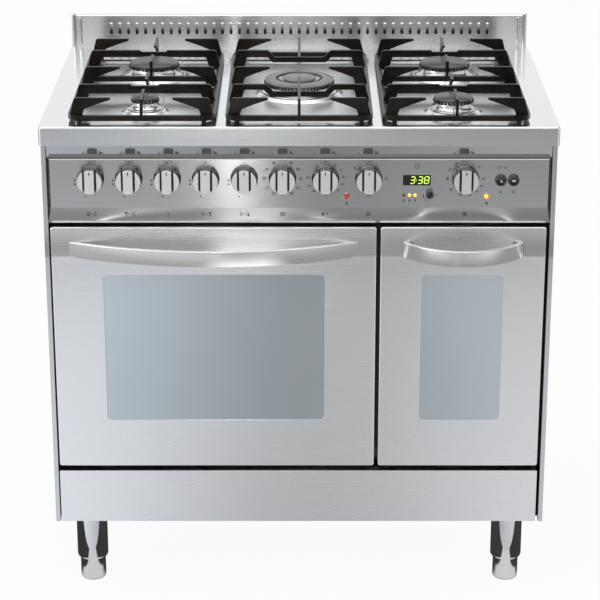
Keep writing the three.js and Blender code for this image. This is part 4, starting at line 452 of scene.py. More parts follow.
black_ink = ink("black_ink", grey(0.012), grey(0.03))
white_ink = ink("white_ink", grey(0.62), grey(0.78))
digit_light = lens("digit_light", (0.60, 0.85, 0.10), 1.0)
yellow_light = lens("yellow_light", (0.95, 0.62, 0.03), 0.9)
red_lens = lens("red_lens", (0.50, 0.03, 0.01), 0.18)
dim_lens = lens("dim_lens", (0.11, 0.006, 0.004), 0.1)
orange_light = lens("orange_light", (0.95, 0.26, 0.01), 0.8)
across = orange_light.coordinate(X) - (LAMP_X - 0.5) * MM
up = orange_light.coordinate(Z) - (LAMP_LEVEL + 0.3) * MM
heart = orange_light.range(across * across + up * up, (HALO * MM) ** 2, (HEART * MM) ** 2)
hot = orange_light.mixed(heart, rgb(0.95, 0.17, 0.0), rgb(1.0, 0.86, 0.16))
orange_light.feed(Base_Color=hot, Emission_Color=hot)
print(f"finishes written: {len(bpy.data.materials)}")

# %% [markdown]
# ## The construction's own panels
#
# Many pieces already have their true shape: the body panels, the drawer, the oven housings. They only lack
# the small rounding that every folded or pressed edge has, and it is that rounding which catches the light.
# A Weld modifier joins the loose triangles and a Bevel rounds the edges. Edge Split then keeps each wide
# face truly flat to the eye; on the cast pan supports Weighted Normal blends the rounding in instead.

# %% Softened edges for the panels
WELD_GAP = 0.02


def soften(piece, width, segments=2, limit=40.0, flat=True):
    weld = piece.modifiers.new("weld", "WELD")
    weld.merge_threshold = WELD_GAP * MM
    rounding = piece.modifiers.new("rounding", "BEVEL")
    rounding.width = width * MM
    rounding.segments = segments
    rounding.limit_method = "ANGLE"
    rounding.angle_limit = math.radians(limit)
    if flat:
        folds = piece.modifiers.new("folds", "EDGE_SPLIT")
        folds.split_angle = math.radians(12)
    else:
        shading = piece.modifiers.new("shading", "WEIGHTED_NORMAL")
        shading.keep_sharp = False
    piece.data.polygons.foreach_set("use_smooth", [True] * len(piece.data.polygons))


def dress(finish, *names, width=0.8, **options):
    for name in names:
        piece = nodes[name]
        piece.data.materials.clear()
        piece.data.materials.append(finish.material)
        if width:
            soften(piece, width, **options)


dress(panel_steel, "control_panel", width=0)
dress(brushed_steel, "drawer_front")
dress(side_steel, "side_panel_left", "side_panel_right", width=0.5)
dress(galvanised, "back_panel", "base_pan", "drawer_box", width=0.5)
dress(oven_enamel, "main_oven", "small_oven", "main_door_liner", "small_door_liner", "fan_cover")
for door in ("main", "small"):
    dress(window_glass, f"{door}_door_outer_glass", f"{door}_door_inner_glass")
for place in ("left", "centre", "right"):
    dress(black_enamel, f"pan_support_{place}", width=1.0, segments=3, limit=25.0, flat=False)
dress(brass, "gas_rail", width=0.4)
dress(aluminium, "oven_fan", width=0.4)
print("panels, ovens, supports and glass have their finishes")

# %% [markdown]
# ## Tools for new pieces
#
# New pieces are modelled in millimetres, which is how such parts are drawn, and scaled to metres once, when
# they are finished. Many are worked lying flat, with their face up, and stood up to face the front. The
# places come from the boxes of the construction's pieces.

# %% Places
STAND_UP = Matrix.Rotation(math.pi / 2, 4, "X")
PANEL_FACE = -272.5


def mm_box(node):
    low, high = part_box(node)
    return low / MM, high / MM


def middle_of(node):
    low, high = mm_box(node)
    return (low + high) / 2


def shift(x, y, z):
    return Matrix.Translation((x, y, z))


def facing(x, y, z):
    """A place for flat work that is stood up to face the front."""
    return shift(x, y, z) @ STAND_UP


print(f"the control panel's face is {-PANEL_FACE:.1f} mm in front of the middle")

# %% [markdown]
# Two shapes cover most pieces. A *turned* piece is a profile spun round an axis, like a knob or a burner. A
# *lofted* piece is a stack of rings bridged together, like a button, a window or a pressed well. A ring is
# a circle, or a rounded rectangle, which is a circle whose four quarters are pulled apart.

# %% Rings, lofts and turned shapes
def rounded(shape, half_x, half_y, corner, height=0.0, centre=(0.0, 0.0), quarter=6):
    ring = bmesh.ops.create_circle(shape, radius=corner, segments=4 * quarter)["verts"]
    half_step = Matrix.Rotation(math.pi / (4 * quarter), 3, "Z")
    bmesh.ops.rotate(shape, verts=ring, cent=(0, 0, 0), matrix=half_step)
    for vert in ring:
        vert.co.x += math.copysign(half_x - corner, vert.co.x) + centre[0]
        vert.co.y += math.copysign(half_y - corner, vert.co.y) + centre[1]
        vert.co.z = height
    return ring


def circle(shape, radius, height=0.0, centre=(0.0, 0.0), segments=48):
    ring = bmesh.ops.create_circle(shape, radius=radius, segments=segments)["verts"]
    bmesh.ops.translate(shape, verts=ring, vec=(*centre, height))
    return ring


def edges_of(ring):
    members = set(ring)
    edges = dict.fromkeys(edge for vert in ring for edge in vert.link_edges)
    return [edge for edge in edges if edge.verts[0] in members and edge.verts[1] in members]


def verts_among(geometry):
    return [item for item in geometry if isinstance(item, bmesh.types.BMVert)]


def lofted(shape, rings, base=True, lid=True):
    """Bridges the rings in turn, and closes the first and the last if asked."""
    loops = [edges_of(ring) for ring in rings]
    for lower, upper in zip(loops, loops[1:]):
        bmesh.ops.bridge_loops(shape, edges=lower + upper)
    for wanted, loop in ((base, loops[0]), (lid, loops[-1])):
        if wanted:
            bmesh.ops.edgeloop_fill(shape, edges=loop)


def turned(profile, steps):
    """A new shape: a profile of (radius, height) points spun about the z axis."""
    shape = bmesh.new()
    verts = [shape.verts.new((radius, 0, height)) for radius, height in profile]
    edges = [shape.edges.new(pair) for pair in zip(verts, verts[1:])]
    bmesh.ops.spin(
        shape, geom=verts + edges, cent=(0, 0, 0), axis=(0, 0, 1), angle=math.tau, steps=steps, use_merge=True
    )
    return shape


print("shapes ready: rings, lofts, turned shapes")

# %% [markdown]
# A finished piece has its doubles merged and its faces turned outwards before a sheet gets its wall. Then it
# is scaled, gets its finishes, and is hung on the body that it moves with.

# %% From a shape to a piece
def painted(shape, index):
    """Gives all faces one of the piece's finishes, by its place in their list."""
    for face in shape.faces:
        face.material_index = index
    return shape


def added(shape, part, place=Matrix.Identity(4)):
    """Moves one bmesh into another."""
    bmesh.ops.transform(part, matrix=place, verts=part.verts)
    carrier = bpy.data.meshes.new("carrier")
    part.to_mesh(carrier)
    part.free()
    shape.from_mesh(carrier)
    bpy.data.meshes.remove(carrier)


def finish_piece(name, shape, finishes, place=Matrix.Identity(4), replaces=(), body="cooker_body",
                 sharp=32.0, wall=0.0):
    """Scales a shape to metres, gives it its finishes, and hangs it on its body."""
    bmesh.ops.remove_doubles(shape, verts=shape.verts, dist=0.002)
    bmesh.ops.recalc_face_normals(shape, faces=shape.faces)
    if wall:
        bmesh.ops.solidify(shape, geom=shape.faces[:], thickness=wall)
    bmesh.ops.transform(shape, matrix=Matrix.Scale(MM, 4) @ place, verts=shape.verts)
    mesh = bpy.data.meshes.new(name)
    shape.to_mesh(mesh)
    shape.free()
    for finish in finishes:
        mesh.materials.append(finish.material)
    mesh.polygons.foreach_set("use_smooth", [True] * len(mesh.polygons))
    mesh.set_sharp_from_angle(angle=math.radians(sharp))
    piece = bpy.data.objects.new(name, mesh)
    bpy.context.scene.collection.objects.link(piece)
    shading = piece.modifiers.new("shading", "WEIGHTED_NORMAL")
    shading.keep_sharp = True
    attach(piece, body)
    if replaces:
        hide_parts(*replaces)
    return piece


print("pieces are merged, scaled, given their finishes and hung on a body")

# %% [markdown]
# ## The hob
#
# The hob is one pressed sheet: a folded rim, three shallow wells under the pan supports, and a low raised
# seat for each burner. We lay out only the rings where the sheet bends, and let `triangle_fill` close the
# flat areas around them, holes included. Solidify then gives the sheet its 1.2 mm.

# %% Hob sheet
HOB_LEVEL = 900.0
HOB_SHEET = 1.2
HOB_CORNER = 5.4
RIM = ((0.0, 866.0), (0.0, 895.5), (0.5, 897.9), (1.9, 899.4), (4.2, 900.0))  # inset, height
WELL_HALF_X, WELL_HALF_Y, WELL_CORNER = 123.0, 228.0, 26.0
WELL = ((-1.6, 900.0), (0.6, 899.6), (2.6, 898.3), (8.6, 894.7), (10.6, 893.5), (13.4, 893.0))
SEAT = ((9.6, 893.0), (7.4, 893.6), (3.2, 897.9), (1.6, 898.8), (-0.6, 899.0))  # beyond the crown, height
BURNER_NAMES = ("rear_left", "front_left", "centre", "rear_right", "front_right")


def burner_place(name):
    """The middle of a burner and the radii of its crown and cap."""
    radii = []
    for part in ("crown", "cap"):
        low, high = mm_box(f"burner_{part}_{name}")
        radii.append(max(high.x - low.x, high.y - low.y) / 2)
    middle = middle_of(f"burner_crown_{name}")
    return middle.x, middle.y, *radii


def pressed_hob():
    low, high = mm_box("hob_top")
    middle, half = (low + high) / 2, (high - low) / 2
    shape = bmesh.new()
    rim = [
        rounded(shape, half.x - inset, half.y - inset, HOB_CORNER - inset, z, middle) for inset, z in RIM
    ]
    top_edges = edges_of(rim[-1])
    floors = []
    for side in ("left", "centre", "right"):
        at = middle_of(f"pan_support_{side}")
        rings = [
            rounded(shape, WELL_HALF_X - inset, WELL_HALF_Y - inset, WELL_CORNER - inset / 2, z, at, 10)
            for inset, z in WELL
        ]
        top_edges += edges_of(rings[0])
        floors.append((at.x, edges_of(rings[-1])))
        lofted(shape, rings, base=False, lid=False)
    for name in BURNER_NAMES:
        x, y, radius, _ = burner_place(name)
        rings = [circle(shape, radius + beyond, z, (x, y), 64) for beyond, z in SEAT]
        nearest = min(floors, key=lambda floor: abs(floor[0] - x))
        nearest[1].extend(edges_of(rings[0]))
        lofted(shape, rings, base=False)
    lofted(shape, rim, base=False, lid=False)
    for edges in [top_edges] + [floor[1] for floor in floors]:
        bmesh.ops.triangle_fill(shape, edges=edges, use_beauty=True, normal=(0, 0, 1))
    return shape


hob = finish_piece(
    "hob_sheet", pressed_hob(), [hob_steel], replaces=["hob_top"], sharp=50, wall=HOB_SHEET
)
print(f"hob sheet: {len(hob.data.polygons)} faces")

# %% [markdown]
# ## Burners
#
# Each burner has a cast crown, flared to a foot, with a row of small ports just under its enamelled cap.
# The crown is turned. For the ports, every second face of its neck is inset and pushed inwards, which is
# quicker and cleaner than cutting forty holes.

# %% Crowns and caps
PORT_PITCH = 7.0
PORT_LOW, PORT_HIGH = 13.0, 17.0
CROWN_HEIGHT = 18.0
CAP_GAP = 0.3
FLARE = ((6.5, 3.4), (3.4, 5.2), (1.4, 8.2), (0.6, 11.4), (0, 12.6), (0, 17.2), (-0.8, CROWN_HEIGHT))


def ported(shape, radius):
    """Sinks a port into every second face of the neck."""
    middles = {face: face.calc_center_median() for face in shape.faces}
    band = [
        face for face, middle in middles.items()
        if PORT_LOW < middle.z < PORT_HIGH and middle.xy.length > radius - 1.0
    ]
    band.sort(key=lambda face: math.atan2(middles[face].y, middles[face].x))
    chosen = band[::2]
    rims = bmesh.ops.inset_individual(shape, faces=chosen, thickness=0.75, depth=-2.6)["faces"]
    # the ports' pockets get the painted shade
    for face in chosen + rims:
        face.material_index = 1


def crown_shape(base, neck, flare=FLARE, top=((0, CROWN_HEIGHT),)):
    """A crown: its foot, the flare (beyond the neck, height) with the neck, and what closes its top."""
    foot = [(0, 0), (base, 0), (base, 1.0), (base - 0.7, 1.9), (base - 2.2, 2.3)]
    ports = 2 * round(math.pi * neck / PORT_PITCH)
    shape = turned(foot + [(neck + beyond, height) for beyond, height in flare] + list(top), 2 * ports)
    ported(shape, neck)
    return shape


def cap_shape(radius):
    return turned([
        (0, 0), (radius - 1.6, 0), (radius - 0.3, 0.6), (radius, 1.6), (radius - 0.3, 2.6),
        (radius - 1.6, 3.3), (radius - 4.5, 3.9), (radius * 0.72, 5.1), (radius * 0.45, 5.9),
        (radius * 0.2, 6.3), (0, 6.4),
    ], 64)


def seat_of(burner):
    return mm_box(f"burner_crown_{burner}")[0].z


def set_burner(burner, crown, cap, cap_finish, crown_name, cap_name):
    """Puts a crown and its cap in the place of the construction's."""
    x, y = burner_place(burner)[:2]
    seat = seat_of(burner)
    finish_piece(crown_name, crown, [aluminium, pocket_shade], shift(x, y, seat),
                 [f"burner_crown_{burner}"])
    finish_piece(cap_name, cap, [cap_finish],
                 shift(x, y, seat + CROWN_HEIGHT + CAP_GAP), [f"burner_cap_{burner}"])


for name in BURNER_NAMES:
    if name != "centre":
        crown_radius, cap_radius = burner_place(name)[2:]
        crown = crown_shape(crown_radius, cap_radius - 1.2)
        set_burner(name, crown, cap_shape(cap_radius), cap_enamel, f"crown_{name}", f"cap_{name}")
print(f"burners: {len(BURNER_NAMES) - 1} plain ones")

# %% [markdown]
# The centre burner is the large one. Its crown carries a ring of flames outside, and a bowl with a second,
# small burner inside, so its cap is a ring with a smaller cap in the middle.

# %% Centre burner
WOK_FLARE = ((5.4, 3.4), (2.8, 5.2), (1.2, 8.2), (0.5, 11.4)) + FLARE[4:]
WOK_BOWL = (
    (45.5, CROWN_HEIGHT), (44.8, 17.4), (42.0, 9.0), (40.5, 8.0), (30.0, 8.0), (28.6, 8.6), (28.0, 12.0),
    (28.0, 20.6), (0, 20.8),
)
RING_INNER = 42.5
INNER_CAP, INNER_CAP_HEIGHT = 30.5, 21.1


def wok_ring_shape(outer, inner):
    return turned([
        (inner, 0), (outer - 1.6, 0), (outer - 0.3, 0.6), (outer, 1.5), (outer - 0.4, 2.5),
        (outer - 2.0, 3.3), (outer - 6.0, 4.3), ((outer + inner) / 2, 5.2), (inner + 2.4, 5.5),
        (inner + 0.6, 5.0), (inner, 4.0), (inner, 0),
    ], 72)


x, y, crown_radius, cap_radius = burner_place("centre")
crown = crown_shape(crown_radius, cap_radius - 1.6, WOK_FLARE, WOK_BOWL)
ring = wok_ring_shape(cap_radius, RING_INNER)
set_burner("centre", crown, ring, wok_enamel, "crown_wok", "cap_wok_ring")
finish_piece("cap_wok_inner", cap_shape(INNER_CAP), [wok_enamel],
             shift(x, y, seat_of("centre") + INNER_CAP_HEIGHT))
print("burners: 1 double one in the centre")

# %% [markdown]
# A ceramic spark plug with a metal tip stands beside each burner, a little to the rear and right of it.

# %% Spark plugs
PLUG_ANGLE = math.radians(35)
PLUG_AWAY = 5.0
PLUG_FOOT = 893.1


def plug_shape():
    shape = turned(
        [(0, 0), (3.4, 0), (3.4, 1.4), (2.9, 1.8), (2.0, 1.9), (2.0, 16.5), (1.6, 17.3), (0, 17.3)], 20
    )
    tip = turned([(0, 17.0), (0.8, 17.0), (0.8, 20.4), (0.5, 20.9), (0, 20.9)], 12)
    added(shape, painted(tip, 1))
    return shape


for name in BURNER_NAMES:
    x, y, crown_radius, _ = burner_place(name)
    reach = crown_radius + PLUG_AWAY
    place = shift(x + reach * math.cos(PLUG_ANGLE), y + reach * math.sin(PLUG_ANGLE), PLUG_FOOT)
    finish_piece(f"spark_plug_{name}", plug_shape(), [ceramic, chrome], place)
print(f"spark plugs: {len(BURNER_NAMES)}")

# %% [markdown]
# ## Backguard
#
# Behind the hob stands a strip with a row of upright slots that let the ovens' warm air out. Its face is a
# rectangle with 45 slot rings in it, closed by one `triangle_fill`. The top is rolled back and the foot is
# folded forward by extruding only those edges. A round rod finishes each end, with a thin bead inside it.

# %% Slotted strip
SLOTS = 45
SLOT_PITCH = 16.8
SLOT_RISE = 37.0
GUARD_FACE = 311.5
GUARD_ROLL_START = 961.0
ROD_RADIUS = 4.5
BEAD_AWAY = 12.5
ROLL = ((1.2, -0.35), (0.9, -0.9), (0.6, -1.7), (0.3, -2.6), (-0.4, -6.4))  # up, out, step by step
FOOT_FOLD = ((0.0, 20.0),)
guard_low, guard_high = mm_box("backguard")


def slotted_strip():
    shape = bmesh.new()
    half = guard_high.x - ROD_RADIUS
    low, high = guard_low.z, GUARD_ROLL_START
    places = ((-half, low, 0), (half, low, 0), (half, high, 0), (-half, high, 0))
    corners = [shape.verts.new(place) for place in places]
    edges = [shape.edges.new((corners[i], corners[(i + 1) % 4])) for i in range(4)]
    bottom, top = edges[0], edges[2]
    for index in range(SLOTS):
        x = (index - (SLOTS - 1) / 2) * SLOT_PITCH
        edges += edges_of(rounded(shape, 2.8, 12.0, 2.79, 0, (x, HOB_LEVEL + SLOT_RISE), quarter=4))
    bmesh.ops.triangle_fill(shape, edges=edges, use_beauty=True, normal=(0, 0, 1))
    for edge, steps in ((top, ROLL), (bottom, FOOT_FOLD)):
        for rise, out in steps:
            extruded = bmesh.ops.extrude_edge_only(shape, edges=[edge])["geom"]
            verts = verts_among(extruded)
            edge = edges_of(verts)[0]
            bmesh.ops.translate(shape, verts=verts, vec=(0, rise, out))
    return shape


finish_piece("backguard_strip", slotted_strip(), [brushed_steel],
             facing(0, GUARD_FACE, 0), ["backguard"], wall=1.2)
for side, label in ((-1, "left"), (1, "right")):
    rods = turned([
        (0, guard_low.z), (4.5, guard_low.z), (4.5, 964.4), (4.1, 965.7), (3.0, 966.6), (0, 967.0)
    ], 28)
    bead = turned([(0, 905), (2.6, 905), (3.4, 906), (3.4, 958), (2.6, 959), (0, 959.2)], 24)
    added(rods, bead, shift(-side * BEAD_AWAY, 0, 0))
    finish_piece(f"backguard_rod_{label}", rods, [chrome],
                 shift(side * (guard_high.x - ROD_RADIUS), GUARD_FACE, 0))
print(f"backguard: {SLOTS} slots {SLOT_PITCH} mm apart, 2 rods")

# %% [markdown]
# Through the slots one sees the sheet that turns the warm air up. Its colour is painted: black at the foot as
# the shade behind the strip, and pale above as light, so the slots look dark below and grey at their top. It
# is a grid whose upper part is bent back.

# %% Sheet behind the slots
BAFFLE_HALF_X, BAFFLE_HALF_Z = 444.0, 19.5
SHADE_LOW, SHADE_HIGH = 0.930, 0.941

flue_sheet = Finish("flue_sheet", Metallic=0.6)
uneven_shade = flue_sheet.noise((60.0, 20.0, 20.0))
# painted shade and light: black at the foot, where shade lies behind the strip, pale grey above
lit_above_shade = flue_sheet.along(Z, SHADE_LOW, SHADE_HIGH) * (0.7 + 0.6 * uneven_shade)
flue_sheet.feed(
    Base_Color=flue_sheet.mixed(lit_above_shade, grey(0.012), grey(0.62)),
    Roughness=0.45 + 0.2 * uneven_shade,
)
baffle = bmesh.new()
bmesh.ops.create_grid(
    baffle, x_segments=1, y_segments=4, size=1, matrix=Matrix.Diagonal((BAFFLE_HALF_X, BAFFLE_HALF_Z, 1, 1))
)
for vert in baffle.verts:
    vert.co.z = -0.018 * (vert.co.y + BAFFLE_HALF_Z) ** 1.5
finish_piece("backguard_baffle", baffle, [flue_sheet], facing(0, 314.2, 924.5), wall=0.7)
print("backguard: a blackened sheet behind the slots")

# %% [markdown]
# ## Door skins
#
# A door's outer sheet is folded back on all sides, with a generous radius, and its window is flanged
# inwards a little, which gives the pane its fine dark outline. Rings again: one set follows the edge of
# the door, one the window, and the flat between them is filled.

# %% Door skins
FOLD = ((0.0, 24.0), (0.0, 2.6), (0.5, 1.2), (1.3, 0.4), (2.6, 0.0))  # inset, depth behind the face
FLANGE = ((0.0, 0.0), (-0.5, 0.25), (-0.8, 0.8), (-0.8, 1.45))
DOOR_CORNER, WINDOW_CORNER = 4.6, 9.0
BOTTOM_RETURN = 6.5  # the fold is shorter below, so the open door clears its hinges
GLASS_LAP = 14.0
WINDOW_HALF_X = {"main": 196.5, "small": 73.0}


def skin_shape(half_x, half_z, window_half_x, window_half_z, window_rise):
    shape = bmesh.new()
    outer = [
        rounded(shape, half_x - inset, half_z - inset, DOOR_CORNER - inset, -back) for inset, back in FOLD
    ]
    window = [
        rounded(shape, window_half_x + inset, window_half_z + inset, WINDOW_CORNER + inset, -back,
                (0, window_rise), 8)
        for inset, back in FLANGE
    ]
    flat = edges_of(outer[-1]) + edges_of(window[0])
    lofted(shape, outer, base=False, lid=False)
    lofted(shape, window, base=False, lid=False)
    bmesh.ops.triangle_fill(shape, edges=flat, use_beauty=True, normal=(0, 0, 1))
    for vert in shape.verts:
        if vert.co.y < 3.0 - half_z and vert.co.z < -BOTTOM_RETURN:
            vert.co.z = -BOTTOM_RETURN
    return shape


for door, window_half_x in WINDOW_HALF_X.items():
    low, high = mm_box(f"{door}_door_skin")
    middle, half = (low + high) / 2, (high - low) / 2
    glass_low, glass_high = mm_box(f"{door}_door_outer_glass")
    window_half_z = (glass_high.z - glass_low.z) / 2 - GLASS_LAP
    window_rise = (glass_low.z + glass_high.z) / 2 - middle.z
    shape = skin_shape(half.x, half.z, window_half_x, window_half_z, window_rise)
    finish_piece(f"{door}_door_sheet", shape, [brushed_steel],
                 facing(middle.x, low.y, middle.z), [f"{door}_door_skin"], f"{door}_door", wall=1.1)
    print(f"{door} door: {2 * half.x:.0f} x {2 * half.z:.0f} mm")

# %% [markdown]
# ## Bowed handles
#
# Each handle is a flat band bowed forward, so it is a piece of a large circle. We draw its small
# cross-section once, with rounded edges, and spin it about that circle's upright axis through the angle
# that the two ends span. The dark pads that carry its ends on the door are separate blocks under the band.

# %% Handles
BAND = 7.0
BEHIND = 0.3  # how far band and pads reach past the door's face
PAD_LENGTH, PAD_STEPS = 18.0, 8


def bow_radius(length, reach):
    return (length * length / 4 + reach * reach) / (2 * reach)


def band_shape(length, reach, tall):
    radius = bow_radius(length, reach)
    span = 2 * math.asin(length / 2 / radius)
    shape = bmesh.new()
    section = rounded(shape, BAND / 2, tall / 2, 1.4, 0, quarter=4)
    start = Matrix.Rotation(math.pi / 2 - span / 2, 4, "Z") @ shift(-radius + BAND / 2, 0, 0) @ STAND_UP
    bmesh.ops.transform(shape, matrix=start, verts=section)
    bmesh.ops.spin(
        shape, geom=section + edges_of(section), cent=(0, 0, 0), axis=(0, 0, 1), angle=span, steps=64
    )
    bmesh.ops.translate(shape, verts=shape.verts, vec=(0, radius - reach, 0))
    cut = bmesh.ops.bisect_plane(
        shape, geom=shape.verts[:] + shape.edges[:] + shape.faces[:], plane_co=(0, -BEHIND, 0),
        plane_no=(0, 1, 0), clear_outer=True,
    )["geom_cut"]
    bmesh.ops.edgeloop_fill(shape, edges=[item for item in cut if isinstance(item, bmesh.types.BMEdge)])
    return shape


def end_pad(length, reach, tall, side):
    """The pad between the door and the band's end; its front follows the bow down to the door."""
    shape = bmesh.new()
    half, radius = length / 2, bow_radius(length, reach)
    along = [half - PAD_LENGTH * step / PAD_STEPS for step in range(PAD_STEPS + 1)]
    bow = [radius - reach - math.sqrt(radius * radius - x * x) + 1.0 for x in along]
    first = sum(y > -BEHIND for y in bow) - 1  # the points before it would lie on one line
    points = list(zip(along, bow))[first:] + [(along[-1], -BEHIND)]
    verts = [shape.verts.new((side * x, min(y, -BEHIND), -tall / 2 + 0.8)) for x, y in points]
    face = shape.faces.new(verts)
    top = bmesh.ops.extrude_face_region(shape, geom=[face])["geom"]
    bmesh.ops.translate(shape, verts=verts_among(top), vec=(0, 0, tall - 1.6))
    bmesh.ops.remove_doubles(shape, verts=shape.verts, dist=0.01)
    return shape


for door in WINDOW_HALF_X:
    low, high = mm_box(f"{door}_door_handle")
    length, tall, reach = high.x - low.x, high.z - low.z, high.y - low.y + BEHIND
    shape = band_shape(length, reach, tall)
    for side in (-1, 1):
        added(shape, painted(end_pad(length, reach, tall, side), 1))
    place = shift((low.x + high.x) / 2, high.y + BEHIND, (low.z + high.z) / 2)
    finish_piece(f"{door}_door_band", shape, [handle_steel, gloss_black], place,
                 [f"{door}_door_handle"], f"{door}_door")
print("handles: two bowed bands")

# %% [markdown]
# ## Knobs
#
# A knob is a satin silver drum with chromed sides on a chromed collar; their chrome is painted dark, as a
# reflection of a dark room. Two deep grooves part its face into a raised bar, which the fingers turn, and two
# lower cheeks, and the grooves are painted dark as shade. A disc is cut by upright planes into those parts
# and each part is extruded to its own height; cutting a solid drum with boxes would give the same, with
# poorer edges.

# %% Knobs
GRIP = 8.6  # half width of the raised bar
GROOVE = 3.4
FACE_RADIUS, CHEEK_END = 21.4, 22.0
GROOVE_FLOOR, CHEEK_TOP, GRIP_TOP = 12.0, 22.0, 25.0
CHROMED, INKED, GROOVE_SHADE = 1, 2, 3  # places in a knob's list of finishes, after the silver


def disc_part(left, right, top, soft=0.7):
    """The part of a disc between two upright planes, pushed up into a block with soft top edges."""
    part = bmesh.new()
    bmesh.ops.create_circle(part, cap_ends=True, radius=FACE_RADIUS, segments=72)
    for x, outwards in ((left, -1), (right, 1)):
        bmesh.ops.bisect_plane(
            part, geom=part.verts[:] + part.edges[:] + part.faces[:], plane_co=(x, 0, 0),
            plane_no=(outwards, 0, 0), clear_outer=True,
        )
    bmesh.ops.translate(part, verts=part.verts, vec=(0, 0, GROOVE_FLOOR))
    lid = verts_among(bmesh.ops.extrude_face_region(part, geom=part.faces[:])["geom"])
    bmesh.ops.translate(part, verts=lid, vec=(0, 0, top - GROOVE_FLOOR))
    for face in part.faces:
        # the walls of the grooves get the painted shade
        if abs(face.normal.x) > 0.95:
            face.material_index = GROOVE_SHADE
        elif abs(face.normal.z) < 0.3:
            face.material_index = CHROMED
    bmesh.ops.bevel(
        part, geom=edges_of(lid), offset=soft, segments=3, profile=0.5, affect="EDGES", material=-1,
        clamp_overlap=True,
    )
    return part


def knob_shape():
    collar = [(0, 0), (24, 0), (24, 1.6), (23.6, 2.8), (22.7, 3.8), (22.2, 4.2), (0, 4.2)]
    shape = painted(turned(collar, 72), CHROMED)
    drum = turned([(0, 4.0), (22.0, 4.0), (21.9, 5.0), (21.4, 12.4), (0, 12.4)], 72)
    bmesh.ops.recalc_face_normals(drum, faces=drum.faces)
    for face in drum.faces:
        # the drum's top, the floor of the grooves, gets the painted shade
        face.material_index = GROOVE_SHADE if face.normal.z > 0.9 else CHROMED
    added(shape, drum)
    cheek = GRIP + GROOVE
    for left, right, top in (
        (-GRIP, GRIP, GRIP_TOP), (cheek, CHEEK_END, CHEEK_TOP), (-CHEEK_END, -cheek, CHEEK_TOP)
    ):
        added(shape, disc_part(left, right, top))
    tick = bmesh.new()
    lofted(tick, [rounded(tick, 0.9, 3.2, 0.8, height, (0, 15.4), 3) for height in (24.8, GRIP_TOP)])
    added(shape, painted(tick, INKED))
    return shape


knob_names = [name for name in nodes if name.startswith(("gas_knob_", "knob_"))]
for name in knob_names:
    middle, back = middle_of(name), mm_box(name)[1].y
    finish_piece(
        f"{name}_drum", knob_shape(), [satin_silver, chrome_painted_dark, black_ink, groove_shade],
        facing(middle.x, back, middle.z), [name], name, sharp=28,
    )
print(f"knobs: {len(knob_names)}")

# %% [markdown]
# The programmer's knob is small, black and gripped by its fluted side, where every second face is sunk. The
# two push buttons beside the last knob are plain turned caps, with a slightly hollow face.

# %% Programmer knob and push buttons
stem_and_head = turned([
    (0, -3.6), (2.6, -3.6), (2.6, 0), (7.0, 0), (7.0, 0.8), (6.7, 1.4), (6.5, 8.6), (5.9, 9.6), (4.6, 10),
    (0, 10),
], 48)
middles = {face: face.calc_center_median() for face in stem_and_head.faces}
flutes = sorted(
    (face for face, middle in middles.items() if 2.0 < middle.z < 8.0 and middle.xy.length > 5.0),
    key=lambda face: math.atan2(middles[face].y, middles[face].x),
)
bmesh.ops.inset_individual(stem_and_head, faces=flutes[::2], thickness=0.12, depth=-0.25)
middle = middle_of("timer_knob")
finish_piece("programmer_knob", stem_and_head, [gloss_black],
             facing(middle.x, PANEL_FACE - 0.3, middle.z), ["timer_knob"], "timer_knob")

for name in ("push_button_left", "push_button_right"):
    middle, back = middle_of(name), mm_box(name)[1].y
    cap = turned([
        (0, 0), (10, 0), (10, 15.0), (9.7, 16.2), (9.0, 17.1), (7.8, 17.6), (7.2, 17.5), (4.0, 17.1),
        (0, 17.0),
    ], 56)
    finish_piece(f"{name}_cap", cap, [gloss_black], facing(middle.x, back, middle.z),
                 [name], name)
print("programmer knob and two push buttons")

# %% [markdown]
# ## The clock, its lamps and their board
#
# One board carries the display, three small indicator lamps and two larger ones. The display is a black
# glass block with a soft edge; its slanted figures are seven-segment bars, each one a thin lofted plate,
# so they are drawn by a small table that says which of the seven bars each figure lights.

# %% Seven-segment figures
FIGURES = {
    "0": "abcdef", "1": "bc", "2": "abged", "3": "abgcd", "4": "fgbc", "5": "afgcd", "6": "afgedc",
    "7": "abc", "8": "abcdefg", "9": "gfabcd",
}
BARS = {  # across, up, and 1 for an upright bar
    "a": (0, 1, 0), "b": (0.5, 0.5, 1), "c": (0.5, -0.5, 1), "d": (0, -1, 0), "e": (-0.5, -0.5, 1),
    "f": (-0.5, 0.5, 1), "g": (0, 0, 0),
}
FIGURE_WIDTH, FIGURE_HALF = 7.4, 6.0
SLANT = 0.14
LIT_LOW, LIT_HIGH = -0.4, -0.22


def thin_plate(shape, x, y, half_x, half_y, low, high, corner=0.3, slant=0.0, index=0):
    plate = bmesh.new()
    corner = min(corner, half_x, half_y) * 0.98
    lofted(plate, [rounded(plate, half_x, half_y, corner, level, quarter=3) for level in (low, high)])
    for vert in plate.verts:
        vert.co.x += slant * (vert.co.y + y)
    added(shape, painted(plate, index), shift(x, y, 0))


def lit_figure(shape, figure, x):
    for letter in FIGURES[figure]:
        across, up, upright = BARS[letter]
        place = (x + across * FIGURE_WIDTH, up * FIGURE_HALF)
        half = (0.75, 2.5) if upright else (2.9, 0.75)
        thin_plate(shape, *place, *half, LIT_LOW, LIT_HIGH, 0.5, SLANT, 1)


print(f"figures: {len(FIGURES)}, made of {len(BARS)} bars")

# %% [markdown]
# The display is lofted like the buttons and carries three figures and a colon. Behind the panel lies the
# board that holds it. Each lamp is a turned dome, and the two larger ones sit in a chromed ring.

